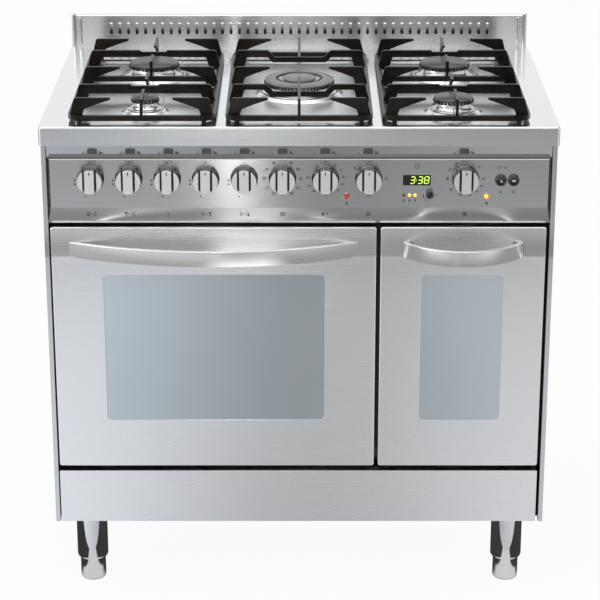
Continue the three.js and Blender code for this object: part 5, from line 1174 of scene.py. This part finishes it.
# %% Clock and lamps
DISPLAY_X, DISPLAY_LEVEL = 204.3, 804.0
INDICATOR_LEVEL = 777.0
INDICATORS = ((182.0, dim_lens), (192.0, yellow_light), (201.6, yellow_light))
LAMPS = (("left", 82.6, red_lens), ("right", LAMP_X, orange_light))
DISPLAY_EDGE = ((0, -5.5), (0, -0.7), (0.3, -0.35), (0.9, -0.3))  # inset, height

display = bmesh.new()
lofted(display, [
    rounded(display, 23.75 - inset, 9 - inset, 1.6 - inset / 2, height, quarter=5)
    for inset, height in DISPLAY_EDGE
])
for figure, x in (("3", -7.4), ("3", 5.8), ("8", 17.0)):
    lit_figure(display, figure, x)
for y in (-1.6, 1.6):
    thin_plate(display, -0.7, y, 0.6, 0.6, LIT_LOW, LIT_HIGH, 0.4, SLANT, 1)
on_display = facing(DISPLAY_X, PANEL_FACE, DISPLAY_LEVEL)
finish_piece("clock_display", display, [gloss_black, digit_light], on_display,
             ["control_board"])

board = bmesh.new()
lofted(board, [rounded(board, 133, 12, 1.5, height, (205 - DISPLAY_X, -28), 3) for height in (-6.0, -3.0)])
thin_plate(board, 0, -8, 27.7, 21, -6.0, -3.1, 1.5)
board_resist = ink("board_resist", rgb(0.01, 0.05, 0.02), rgb(0.02, 0.09, 0.04))
finish_piece("lamp_board", board, [board_resist], on_display)

for number, (x, glow) in enumerate(INDICATORS):
    dome = turned(
        [(0, -5.5), (1.6, -5.5), (1.6, 0.1), (2.9, 0.1), (2.8, 0.5), (2.1, 1.1), (1.1, 1.4), (0, 1.5)], 24
    )
    finish_piece(f"indicator_{number}", dome, [glow], facing(x, PANEL_FACE, INDICATOR_LEVEL))
for label, x, glow in LAMPS:
    dome = turned([(0, -5.5), (4.6, -5.5), (4.6, 0.6), (4.3, 1.4), (3.2, 2.2), (1.6, 2.5), (0, 2.55)], 36)
    bezel = turned(
        [(4.7, 0.05), (6.0, 0.05), (6.0, 0.6), (5.6, 1.0), (5.0, 1.1), (4.7, 0.8), (4.7, 0.05)], 36
    )
    added(dome, painted(bezel, 1))
    finish_piece(f"lamp_{label}", dome, [glow, chrome], facing(x, PANEL_FACE, LAMP_LEVEL))
print(f"clock display, {len(INDICATORS)} indicators and {len(LAMPS)} lamps")

# %% [markdown]
# ## The bright trim over the panel
#
# Between the hob's edge and the panel's ledge runs a smooth trim that leans forward a little at its top. It
# is not brushed, so it mirrors the tops of the knobs as dark upright patches. It is a flat sheet, laid out
# upright, turned by its lean and given a wall.

# %% Trim strip
TRIM_HALF_X, TRIM_HALF_Z = 438.2, 14.6
TRIM_LEAN = 16

trim = bmesh.new()
bmesh.ops.create_grid(
    trim, x_segments=12, y_segments=2, size=1, matrix=Matrix.Diagonal((TRIM_HALF_X, TRIM_HALF_Z, 1, 1))
)
lean = Matrix.Rotation(math.radians(TRIM_LEAN), 4, "X")
finish_piece("panel_trim", trim, [trim_steel],
             shift(0, -263.1, 842.3) @ lean @ facing(0, 0, TRIM_HALF_Z + 0.1), wall=0.5)
print(f"trim: leans forward by {TRIM_LEAN} degrees")

# %% [markdown]
# ## Feet
#
# Chromed adjustable feet screw into chromed sleeves. Both are turned. The sleeve in the construction is part
# of the base pan, so a thin bright skin is put round it and the pan stays as it is.

# %% Feet and sleeves
POST = [(0, 0), (20.2, 0), (21.8, 0.5), (23.0, 1.7), (23.5, 3.4), (23.5, 97.4), (22.9, 98), (0, 98)]
SLEEVE = [
    (28.7, 147.7), (28.7, 50.0), (28.3, 47.6), (27.0, 45.6), (25.2, 44.9), (24.1, 45.1), (24.1, 46.0),
    (26.4, 46.6), (28.55, 50.2), (28.55, 147.7), (28.7, 147.7),
]
foot_names = [name for name in nodes if name.startswith("foot_")]
for name in foot_names:
    middle = middle_of(name)
    place = shift(middle.x, middle.y, 0)
    finish_piece(f"{name}_post", turned(POST, 64), [chrome], place, [name], name)
    finish_piece(f"{name}_sleeve", turned(SLEEVE, 64), [chrome], place)
print(f"feet: {len(foot_names)} posts in {len(foot_names)} sleeves")

# %% [markdown]
# ## Inside the ovens
#
# With a door open, the wire shelf, the grill element and the door seal show. All three are round wires or
# rods, so each is a circle extruded along a path. A shelf is a frame of thick wires with thin ones between.

# %% Shelves
FRAME_WIRE, SHELF_WIRE = 2.5, 1.3  # radii
SHELF_PITCH = 22


def wire(shape, radius, start, end, sides):
    """A round rod between two points, with closed ends."""
    start, end = Vector(start), Vector(end)
    part = bmesh.new()
    levels = (0, (end - start).length)
    lofted(part, [circle(part, radius, level, segments=sides) for level in levels])
    turn = (end - start).to_track_quat("Z", "Y").to_matrix().to_4x4()
    added(shape, part, Matrix.Translation(start) @ turn)


for oven in ("main", "small"):
    low, high = mm_box(f"{oven}_oven_shelf")
    z = (low.z + high.z) / 2
    shelf = bmesh.new()
    left, right = low.x + FRAME_WIRE, high.x - FRAME_WIRE
    near, far = low.y + FRAME_WIRE, high.y - FRAME_WIRE
    corners = [(left, near, z), (right, near, z), (right, far, z), (left, far, z)]
    for start, end in zip(corners, corners[1:] + corners[:1]):
        wire(shelf, FRAME_WIRE, start, end, 14)
        bmesh.ops.create_uvsphere(
            shelf, u_segments=14, v_segments=8, radius=FRAME_WIRE, matrix=shift(*start)
        )
    count = int((high.x - low.x) / SHELF_PITCH)
    for index in range(1, count):
        x = low.x + (high.x - low.x) * index / count
        wire(shelf, SHELF_WIRE, (x, low.y + 2, z), (x, high.y - 2, z), 8)
    finish_piece(f"{oven}_shelf_wires", shelf, [chrome], replaces=[f"{oven}_oven_shelf"])
print("shelves: 2")

# %% [markdown]
# A grill element is one rod that runs forward and back under the oven's roof. Its straight runs are
# extrusions of a ring, and each bend is a half turn that spins the last ring.

# %% Grill elements
ROD_SIZE, ROD_EDGE = 3.4, 3.5  # the rod's radius and its way in from the box's edge
BACK_BENDS = 135.5


def bent_rod(shape, radius, runs, z):
    """A rod that runs forward and back: each run is (x, from y, to y), joined by half turns."""
    ring = circle(shape, radius, segments=12)
    bmesh.ops.transform(shape, matrix=facing(*runs[0][:2], z), verts=ring)
    first = edges_of(ring)
    last = ring + first
    for index, (x, y0, y1) in enumerate(runs):
        if index:
            middle = ((runs[index - 1][0] + x) / 2, y0, z)
            half_turn = math.pi if y0 > y1 else -math.pi
            last = bmesh.ops.spin(
                shape, geom=last, cent=middle, axis=(0, 0, 1), angle=half_turn, steps=14
            )["geom_last"]
        made = bmesh.ops.extrude_edge_only(shape, edges=edges_of(verts_among(last)))["geom"]
        verts = verts_among(made)
        bmesh.ops.translate(shape, verts=verts, vec=(0, y1 - y0, 0))
        last = verts + edges_of(verts)
    bmesh.ops.edgeloop_fill(shape, edges=first)
    bmesh.ops.edgeloop_fill(shape, edges=edges_of(verts))


for oven, count in (("main", 6), ("small", 4)):
    low, high = mm_box(f"{oven}_grill_element")
    pitch = (high.x - low.x - 2 * ROD_EDGE) / (count - 1)
    front = low.y + ROD_EDGE + pitch / 2
    runs = []
    for index in range(count):
        x = low.x + ROD_EDGE + pitch * index
        far = high.y if index in (0, count - 1) else BACK_BENDS - pitch / 2
        runs.append((x, far, front) if index % 2 == 0 else (x, front, far))
    rod = bmesh.new()
    bent_rod(rod, ROD_SIZE, runs, (low.z + high.z) / 2)
    finish_piece(
        f"{oven}_element_rod", rod, [sheath], replaces=[f"{oven}_grill_element"]
    )
print("grill elements: 2")

# %% [markdown]
# The seal lies round the oven's mouth as a closed frame with a round outside, so it is lofted from rounded
# rectangles that grow, rise and shrink again until the last meets the first.

# %% Door seals
SEAL_CORNER, SEAL_HALF = 20, 4
SEAL = ((4, 0.4), (4, 2.4), (3, 3.2), (0, 3.5), (-3, 3.2), (-4, 2.4), (-4, 0.4), (0, 0.1))  # out, depth

for oven in ("main", "small"):
    low, high = mm_box(f"{oven}_oven_seal")
    middle, half = (low + high) / 2, (high - low) / 2
    seal = bmesh.new()
    rings = [
        rounded(seal, half.x - SEAL_HALF + out, half.z - SEAL_HALF + out, SEAL_CORNER + out, depth, quarter=8)
        for out, depth in SEAL
    ]
    lofted(seal, rings + [rings[0]], base=False, lid=False)
    finish_piece(f"{oven}_seal_sleeve", seal, [gasket],
                 facing(middle.x, high.y, middle.z), [f"{oven}_oven_seal"])
print("door seals: 2")

# %% [markdown]
# ## Signs on the panel
#
# Every control has its printed signs: a dot above the gas knobs, two dots for the large flame and one for the
# small, a map of the five burners below each knob, and scales round the oven knobs. They are silk-screened
# ink, so each mark is a plate a fifth of a millimetre thick on the panel. A few small helpers draw all of
# them: a bar, a dot, a ring, a box and a figure made of bars.

# %% Printing tools
PRINT_LOW, PRINT = 0.01, 0.2  # the ink's foot and top above the sheet
SPREAD = 1.45  # the screen prints every line a little fat
DOT_SPREAD = 1.2


def bar(sheet, x, z, length, thick=0.7, angle=0.0):
    """A straight mark of ink about its middle."""
    mark = bmesh.new()
    half = thick * SPREAD / 2
    lofted(mark, [
        rounded(mark, length / 2, half, half * 0.9, level, quarter=2) for level in (PRINT_LOW, PRINT)
    ])
    added(sheet, mark, shift(x, z, 0) @ Matrix.Rotation(math.radians(angle), 4, "Z"))


def dot(sheet, x, z, radius):
    mark = bmesh.new()
    lofted(mark, [circle(mark, radius * DOT_SPREAD, level, segments=16) for level in (PRINT_LOW, PRINT)])
    added(sheet, mark, shift(x, z, 0))


def ring_mark(sheet, x, z, radius, thick=0.5, segments=20):
    inner = radius - thick * SPREAD
    section = [(inner, PRINT_LOW), (radius, PRINT_LOW), (radius, PRINT), (inner, PRINT), (inner, PRINT_LOW)]
    added(sheet, turned(section, segments), shift(x, z, 0))


def box_mark(sheet, x, z, width, tall, thick=0.5):
    for side in (-1, 1):
        bar(sheet, x, z + side * (tall - thick) / 2, width, thick)
        bar(sheet, x + side * (width - thick) / 2, z, tall, thick, 90)


def number_mark(sheet, text, x, z, size=2.6):
    """Small upright figures whose strokes are seven bars."""
    pitch = size * 0.85
    for index, figure in enumerate(text):
        left = x + (index - (len(text) - 1) / 2) * pitch
        for letter in FIGURES[figure]:
            across, up, upright = BARS[letter]
            bar(sheet, left + across * size * 0.5, z + up * size / 2, size * 0.5 + 0.1, 0.42, 90 * upright)


print(f"ink: {PRINT} mm thick")

# %% [markdown]
# The marks of one sign are gathered in a sheet and laid on the panel's face, or on the strip below it,
# which slopes back by 11 mm over its 31 mm.

# %% Sheets of ink
KNOB_LEVEL = 807.0
SLOPE_TOP = 754.0
SLOPE = math.atan2(11, 31)
MAP_LEVEL = 740.0
sign_names = []


def sign_sheet(name, sheet, lower=False):
    """Lays printed marks on the panel's face, or on the sloping strip below it."""
    place = facing(0, PANEL_FACE, 0)
    if lower:
        slope = Matrix.Rotation(SLOPE, 4, "X")
        place = shift(0, PANEL_FACE, SLOPE_TOP) @ slope @ STAND_UP @ shift(0, -SLOPE_TOP, 0)
    finish_piece(name, sheet, [black_ink], place)
    sign_names.append(name)


def around_knob(x, radius, angle):
    """A place round a knob: the angle is clockwise from its top."""
    turn = math.radians(angle)
    return x + radius * math.sin(turn), KNOB_LEVEL + radius * math.cos(turn)


print(f"the strip slopes by {math.degrees(SLOPE):.1f} degrees")

# %% [markdown]
# Round each gas knob stand a dot at the top for off, two dots for the large flame at its left and one for the
# small flame at its foot. Below it, on the slope, a map of the hob shows that knob's own burner filled.

# %% Signs of the gas knobs
GAS_KNOBS = ("front_left", "rear_left", "centre", "rear_right", "front_right")
FLAME_DOTS = ((0, 835.4, 1.1), (-27.4, 803.6, 1.35), (-27.4, 796.6, 1.35), (-9.0, 774.6, 1.1))
MAP_ACROSS, MAP_UP = 6.6, 2.6


def burner_map(sheet, x, burner):
    """A small plan of the hob with the knob's own burner filled."""
    dot(sheet, x, MAP_LEVEL, 1.3 if burner == "centre" else 0.8)
    if burner == "centre":
        return
    row, side = burner.split("_")
    chosen = (1 if side == "right" else -1, 1 if row == "rear" else -1)
    for across in (-1, 1):
        for up in (-1, 1):
            place = (x + MAP_ACROSS * across, MAP_LEVEL + MAP_UP * up)
            if (across, up) == chosen:
                dot(sheet, *place, 1.7)
            else:
                ring_mark(sheet, *place, 1.6, 0.45)
            bar(sheet, x + 3.2 * across, MAP_LEVEL + 1.2 * up, 2.4, 0.35, 25 * across * up)


for burner in GAS_KNOBS:
    face_sheet, map_sheet = bmesh.new(), bmesh.new()
    x = middle_of(f"gas_knob_{burner}").x
    for across, level, radius in FLAME_DOTS:
        dot(face_sheet, x + across, level, radius)
    burner_map(map_sheet, x, burner)
    sign_sheet(f"gas_sign_{burner}", face_sheet)
    sign_sheet(f"burner_map_{burner}", map_sheet, lower=True)
print(f"gas signs: {len(sign_names)} sheets of ink")

# %% [markdown]
# ## Scales of the oven knobs
#
# The oven knobs are read by the mark on the grip, so signs stand in a ring round each of them: small
# pictures of the heating modes, each a frame with bars where heat comes from, and temperatures from 50 to
# 250. The numbers use the same seven bars as the clock.

# %% Mode pictures and temperatures
TOP, BOTTOM, GRILL, FAN = "tbgf"
MAIN_MODES = (  # angle clockwise from the knob's top, where the heat comes from
    (28, TOP), (58, TOP + BOTTOM), (90, BOTTOM), (122, FAN), (150, FAN + TOP), (210, FAN + BOTTOM),
    (238, GRILL), (270, GRILL + TOP), (302, GRILL + FAN), (332, TOP + FAN),
)
SMALL_MODES = ((232, BOTTOM), (270, TOP + BOTTOM), (300, TOP), (330, GRILL))
MAIN_HEATS = (
    (35, 50), (60, 75), (84, 100), (110, 125), (135, 150), (180, 175), (222, 200), (244, 225), (274, 250)
)
SMALL_HEATS = ((48, 50), (90, 100), (116, 150), (140, 200), (168, 225), (196, 250))
MINUTES = ((90, 30), (180, 60), (308, 90))


def mode_picture(sheet, x, z, heat, width=5.6, tall=4.4):
    box_mark(sheet, x, z, width, tall, 0.42)
    if TOP in heat:
        bar(sheet, x, z + tall / 2 - 1.3, width - 2.0, 0.6)
    if BOTTOM in heat:
        bar(sheet, x, z - tall / 2 + 1.3, width - 2.0, 0.6)
    if GRILL in heat:
        for step in (-1, 0, 1):
            bar(sheet, x + 1.3 * step, z + 0.9, 1.2, 0.45, 60)
    if FAN in heat:
        for angle in (45, -45):
            bar(sheet, x, z - 0.1, 2.2, 0.5, angle)


def scale(name, knob, zero, modes=(), mode_ring=0.0, values=(), value_ring=0.0, figure=2.6):
    """A ring of signs round a knob; zero is the dot's radius, or nothing for a bar."""
    sheet = bmesh.new()
    x = middle_of(knob).x
    if zero:
        dot(sheet, *around_knob(x, 28.6, 0), zero)
    else:
        bar(sheet, *around_knob(x, 29.0, 0), 2.0, 0.6, 90)
    for angle, heat in modes:
        mode_picture(sheet, *around_knob(x, mode_ring, angle), heat)
    for angle, value in values:
        number_mark(sheet, str(value), *around_knob(x, value_ring, angle), figure)
    sign_sheet(name, sheet)


scale("signs_main_oven_function", "knob_main_oven_function", None, MAIN_MODES, 31.6)
scale("signs_main_oven_heat", "knob_main_oven_heat", 1.1, values=MAIN_HEATS, value_ring=30.4)
scale("signs_minute_timer", "knob_minute_timer", 0.9, values=MINUTES, value_ring=30.6, figure=3.2)
scale("signs_small_oven", "knob_small_oven", None, SMALL_MODES, 31.4, SMALL_HEATS, 30.6)
print(f"scales: {len(MAIN_MODES + SMALL_MODES)} modes, {len(MAIN_HEATS + SMALL_HEATS)} temperatures")

# %% [markdown]
# On the sloping strip each of these knobs has a sign for its task: an oven, a thermometer's bulb and scale,
# a clock, and three bars for the small oven.

# %% Signs under the oven knobs
lower = bmesh.new()
x = middle_of("knob_main_oven_function").x
box_mark(lower, x, MAP_LEVEL, 8.4, 6.4, 0.55)
for side in (-1, 1):
    bar(lower, x, MAP_LEVEL + 1.4 * side, 5.4, 0.6)
x = middle_of("knob_main_oven_heat").x
dot(lower, x - 3.4, MAP_LEVEL - 0.4, 1.9)
bar(lower, x - 3.4, MAP_LEVEL + 2.0, 2.0, 0.9, 60)
ring_mark(lower, x + 3.4, MAP_LEVEL + 1.6, 1.3, 0.5)
bar(lower, x + 3.4, MAP_LEVEL - 1.6, 3.0, 0.6, 90)
x = middle_of("knob_minute_timer").x
box_mark(lower, x, MAP_LEVEL, 7.2, 6.6, 0.5)
ring_mark(lower, x, MAP_LEVEL, 2.3, 0.5)
bar(lower, x, MAP_LEVEL + 0.8, 1.7, 0.45, 90)
x = middle_of("knob_small_oven").x
for step in (-1, 0, 1):
    bar(lower, x, MAP_LEVEL + 2.3 * step, 8.0, 1.0)
sign_sheet("signs_oven_knobs", lower, lower=True)
print("signs of 4 knobs on the lower strip")

# %% [markdown]
# ## Signs of the clock, the lamps and the buttons
#
# A clock face stands above the display, a minus, a plus and an arc round the programmer's knob, and a drop
# under each lamp, which is a small disc with a peak. Above and under the buttons are short strokes.

# %% Clock, lamp and button signs
CLOCK_FACE = (204.4, 829.2)
MINUS_X, PLUS_X, ARC_LEVEL = 216.4, 237.9, 777.0
ARC_X, ARC_RADIUS = 227.4, 11.4
BUTTON_STROKES = (  # x, height, length, thickness, angle
    (345.5, 826.6, 5.6, 0.6, 90), (346.6, 829.2, 2.2, 0.6, 0), (346.6, 824.0, 2.2, 0.6, 0),
    (350.8, 826.6, 2.4, 0.7, 0), (350.8, 826.6, 2.4, 0.7, 90), (357.4, 826.6, 5.6, 0.6, 90),
    (358.6, 828.0, 3.4, 0.6, 40), (358.6, 825.2, 3.4, 0.6, -40), (364.6, 826.6, 1.2, 0.8, 0),
    (350.2, 783.0, 4.4, 1.0, 90), (350.2, 781.4, 3.0, 1.0, 0),
)

marks = bmesh.new()
clock_x, clock_z = CLOCK_FACE
ring_mark(marks, clock_x, clock_z, 4.4, 0.55, 28)
bar(marks, clock_x, clock_z + 1.4, 2.8, 0.5, 90)
bar(marks, clock_x + 1.0, clock_z, 2.2, 0.5)
for index, (x, _) in enumerate(INDICATORS):
    box_mark(marks, x, 767.2, 4.2 - 0.5 * index, 3.2, 0.5)
    bar(marks, x, 767.2, 2.0, 0.5, 45 * index)
for x, angle in ((MINUS_X, 0), (PLUS_X, 0), (PLUS_X, 90)):
    bar(marks, x, ARC_LEVEL + 0.2, 2.4, 0.6, angle)
for step in range(7):
    angle = math.radians(228 - 16 * step)
    x = ARC_X + ARC_RADIUS * math.cos(angle + math.pi / 6)
    z = ARC_LEVEL - abs(ARC_RADIUS * math.sin(angle + math.pi / 6))
    bar(marks, x, z, 3.2, 0.35 + 0.09 * step, math.degrees(angle) + 120)
for x in (82.9, 326.4):
    dot(marks, x, 761.6, 1.5)
    bar(marks, x, 763.6, 2.6, 1.2, 90)
for stroke in BUTTON_STROKES:
    bar(marks, *stroke)
box_mark(marks, 372.6, 783.0, 4.4, 5.4, 0.6)
sign_sheet("signs_of_the_lamps", marks)
print(f"signs: {len(sign_names)} sheets of ink on the panel")

# %% [markdown]
# The buttons carry a white sign each, which lies in the hollow of the cap and moves with it.

# %% White signs on the buttons
HOLLOW = 0.98  # from the cap's front edge back to the sign's ground
WHITE_STROKES = {
    "push_button_left": ((0, 0.6, 4.2, 0.8, 90), (0.8, -2.0, 3.6, 0.8, 0), (1.6, -1.0, 2.2, 0.8, 60)),
    "push_button_right": ((0, 0.8, 6.4, 0.9, 0), (0, -0.9, 6.4, 0.9, 0)),
}
for name, strokes in WHITE_STROKES.items():
    middle, front = middle_of(name), mm_box(name)[0].y
    marks = bmesh.new()
    for stroke in strokes:
        bar(marks, *stroke)
    finish_piece(f"{name}_sign", marks, [white_ink],
                 facing(middle.x, front + HOLLOW, middle.z), body=name)
print(f"signs: {len(WHITE_STROKES)} white ones on the buttons")

# %% [markdown]
# ## Screws and the press marks of the hob
#
# Six low domed screws hold the rear sheet, each with a crossed recess. A shallow dimple near each front
# corner of the hob marks where it is fixed from below.

# %% Screws and dimples
BACK_FACE = 295.5
SCREW_X, SCREW_LEVELS = 250, (175, 500, 860)
DIMPLE_X, DIMPLE_Y = 432, -236


def screw_head(radius):
    """A low domed head with a crossed recess, drawn as a dark cross of painted shade."""
    shape = turned(
        [(0, 0), (radius, 0), (radius, 0.25), (radius * 0.8, 0.7), (radius * 0.45, 0.95), (0, 1.0)], 24
    )
    for angle in (0, 90):
        slot = bmesh.new()
        lofted(slot, [rounded(slot, radius * 0.55, 0.28, 0.2, level, quarter=2) for level in (0.9, 1.03)])
        added(shape, painted(slot, 1), Matrix.Rotation(math.radians(angle), 4, "Z"))
    return shape


face_back = Matrix.Rotation(-math.pi / 2, 4, "X")
screw_places = [(side * SCREW_X, level) for side in (-1, 1) for level in SCREW_LEVELS]
for number, (x, level) in enumerate(screw_places):
    finish_piece(f"back_screw_{number}", screw_head(3.6), [chrome, pocket_shade],
                 shift(x, BACK_FACE, level) @ face_back)
for side, label in ((-1, "left"), (1, "right")):
    dimple = turned(
        [(0, 0.02), (1.8, 0.03), (2.4, 0.12), (2.8, 0.3), (3.3, 0.3), (3.8, 0.05), (4.0, 0.0)], 28
    )
    finish_piece(f"hob_dimple_{label}", dimple, [hob_steel],
                 shift(side * DIMPLE_X, DIMPLE_Y, HOB_LEVEL))
print(f"screws: {len(screw_places)}, dimples: 2")

# %% [markdown]
# ## Studio
#
# A steel front is a picture of what stands before it. A white world and floor give the even, pale tone of a
# catalogue photograph. The floor takes the cooker's shadow, but the camera sees it nearly all in a white of
# its own, and mirror images see a third of that white.

# %% Floor and world
FLOOR_HALF = 15.0
WHITE_SEEN, WHITE_MIRRORED = 0.95, 0.35
AIR = 0.62  # level of the world's light on the cooker

floor_shape = bmesh.new()
bmesh.ops.create_grid(floor_shape, x_segments=1, y_segments=1, size=FLOOR_HALF)
floor_mesh = bpy.data.meshes.new("floor")
floor_shape.to_mesh(floor_mesh)
floor_shape.free()
floor = bpy.data.objects.new("floor", floor_mesh)
bpy.context.scene.collection.objects.link(floor)
floor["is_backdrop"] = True

paper = Finish("floor_paper", Roughness=0.85)
paper.feed(Base_Color=paper.mixed(paper.noise(30.0), grey(0.86), grey(0.90)))
seen, mirrored, through = paper.rays()
white = paper.node("ShaderNodeEmission", inputs={"Color": grey(1.0), "Strength": 1.0})
shaded = Wire(paper, paper.shader.outputs[0])
share = WHITE_SEEN * seen + WHITE_MIRRORED * mirrored + through
paper.connect(paper.surface, paper.node("ShaderNodeMixShader", inputs={0: share, 1: shaded, 2: white}))
floor_mesh.materials.append(paper.material)

world = bpy.data.worlds.new("studio")
bpy.context.scene.world = world
world.use_nodes = True
air = Graph(world.node_tree)
seen, mirrored, through = air.rays()
background = world.node_tree.nodes["Background"].inputs["Color"]
air.connect(background, air.mixed(seen + mirrored + through, grey(AIR), grey(1.0)))
print("studio: a pale floor and a white world")

# %% [markdown]
# ## Cards
#
# With a pale room all round, polished metal turns flat and chalky. Photographers of steel lay cards about
# the object for the metal to mirror. A card on the floor in front gives the doors their fall from a bluish
# white to grey. One at knee height, just before the handles, is mirrored by the sloping strip under the
# knobs. Dim ones overhead, one on each side, and one at the far end of the room give the hob and the
# handles their edges, and a dark one under the cooker darkens the sides of the feet. Only reflections see
# these cards.

# %% Cards that only the metal sees
def card(name, place, paint, edge=None):
    """A one-metre square moved to its place. Paint sets its light, edge where in y it fades in."""
    shape = bmesh.new()
    bmesh.ops.create_grid(shape, x_segments=1, y_segments=1, size=0.5)
    bmesh.ops.transform(shape, matrix=place, verts=shape.verts)
    mesh = bpy.data.meshes.new(name)
    shape.to_mesh(mesh)
    shape.free()
    board = Finish(f"{name}_paint", Base_Color=grey(0.0), Roughness=1.0, Emission_Strength=1.0)
    board.feed(Specular_IOR_Level=0.0, Emission_Color=paint(board))
    if edge:
        board.feed(Alpha=board.along(Y, *edge))
    mesh.materials.append(board.material)
    made = bpy.data.objects.new(name, mesh)
    bpy.context.scene.collection.objects.link(made)
    made.visible_camera = False
    made.visible_diffuse = False
    made.visible_shadow = False
    made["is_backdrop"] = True


def door_fall(board):
    """Bluish white at the left, grey in the middle, paler at the right; dim grey far from the doors."""
    left = board.mixed(board.along(X, -0.60, 0.02), rgb(0.93, 0.97, 1.04), rgb(0.50, 0.51, 0.53))
    near = board.mixed(board.along(X, 0.02, 0.55), left, rgb(0.80, 0.82, 0.85))
    far = board.mixed(board.along(X, -0.62, 0.62), grey(0.38), grey(0.30))
    return board.mixed(board.along(Y, -2.16, -2.34), near, far)


def strip_fall(board):
    """Grey, with one bright stretch left of the middle."""
    rise = board.mixed(board.along(X, -0.18, -0.115), grey(0.36), grey(1.15))
    return board.mixed(board.along(X, -0.065, 0.0), rise, grey(0.30))


def dim(board):
    return board.mixed(board.noise(2.0), grey(0.10), grey(0.22))


def below(board):
    """Dark as painted shade, for the shaded floor under the cooker, with a pale patch before each front foot,
    which gives the foot its bright middle.
    """
    foot_x = middle_of("foot_front_right").x * MM
    across = board.coordinate(X)
    off = across * across - foot_x ** 2
    patch = board.range(off * off, 0.0026, 0.0016) * board.along(Y, -0.19, -0.22)
    return board.mixed(patch, board.mixed(board.noise(2.0), grey(0.03), grey(0.08)), grey(0.85))


def level_card(left, right, front, back, z):
    centre = shift((left + right) / 2, (front + back) / 2, z)
    return centre @ Matrix.Diagonal((right - left, back - front, 1, 1))


card("floor_card", level_card(-2.2, 2.2, -5.0, -0.34, 0.004), door_fall)
card("knee_card", level_card(-0.6, 0.6, -0.40, -0.276, 0.66), strip_fall, edge=(-0.395, -0.325))
card("ceiling_card_left", level_card(-3.9, -2.3, -2.6, 2.2, 3.0), dim)
card("ceiling_card_right", level_card(1.45, 3.2, -2.6, 2.2, 3.0), dim)
card("dark_card_below", level_card(-0.85, 0.85, -0.345, 0.33, 0.005), below)
card("room_card", shift(0, -5.0, 0.9) @ Matrix.Diagonal((5.0, 1, 1.8, 1)) @ STAND_UP, dim)
print("cards: two graded, three dim and one dark")

# %% [markdown]
# ## Lamps
#
# A large soft lamp overhead lights the hob. A second one stands at the left like a window, so the left side
# is brighter than the right, and a narrow upright lamp below the camera draws the bright band on the control
# panel.

# %% Lamps
def lamp(name, place, aim, size, watts, colour=(1.0, 1.0, 1.0)):
    data = bpy.data.lights.new(name, "AREA")
    data.shape = "RECTANGLE"
    data.size, data.size_y = size
    data.energy = watts
    data.color = colour
    made = bpy.data.objects.new(name, data)
    made.location = place
    made.rotation_euler = (Vector(aim) - Vector(place)).to_track_quat("-Z", "Z").to_euler()
    bpy.context.scene.collection.objects.link(made)


lamp("overhead", (-0.4, -0.6, 3.4), (0, 0, 0.9), (3.4, 2.6), 29)
lamp("window", (-2.9, -2.2, 1.6), (0, 0, 0.5), (1.8, 2.2), 34, (0.92, 0.96, 1.0))
lamp("strip", (-0.235, -3.7, 0.75), (-0.1, -0.3, 0.7), (0.06, 1.5), 3.0)
print("lamps: three")

# %% [markdown]
# ## Measuring up
#
# The dressed cooker has to keep the construction's size. We keep both boxes and print how much the dressed
# one has grown in each direction.

# %% Sizes
dressed_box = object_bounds()
grown = [f"{(a - b) / MM:.1f}" for a, b in zip(dressed_box[1] - dressed_box[0], size)]
print(f"growth over the construction in mm: {grown}")
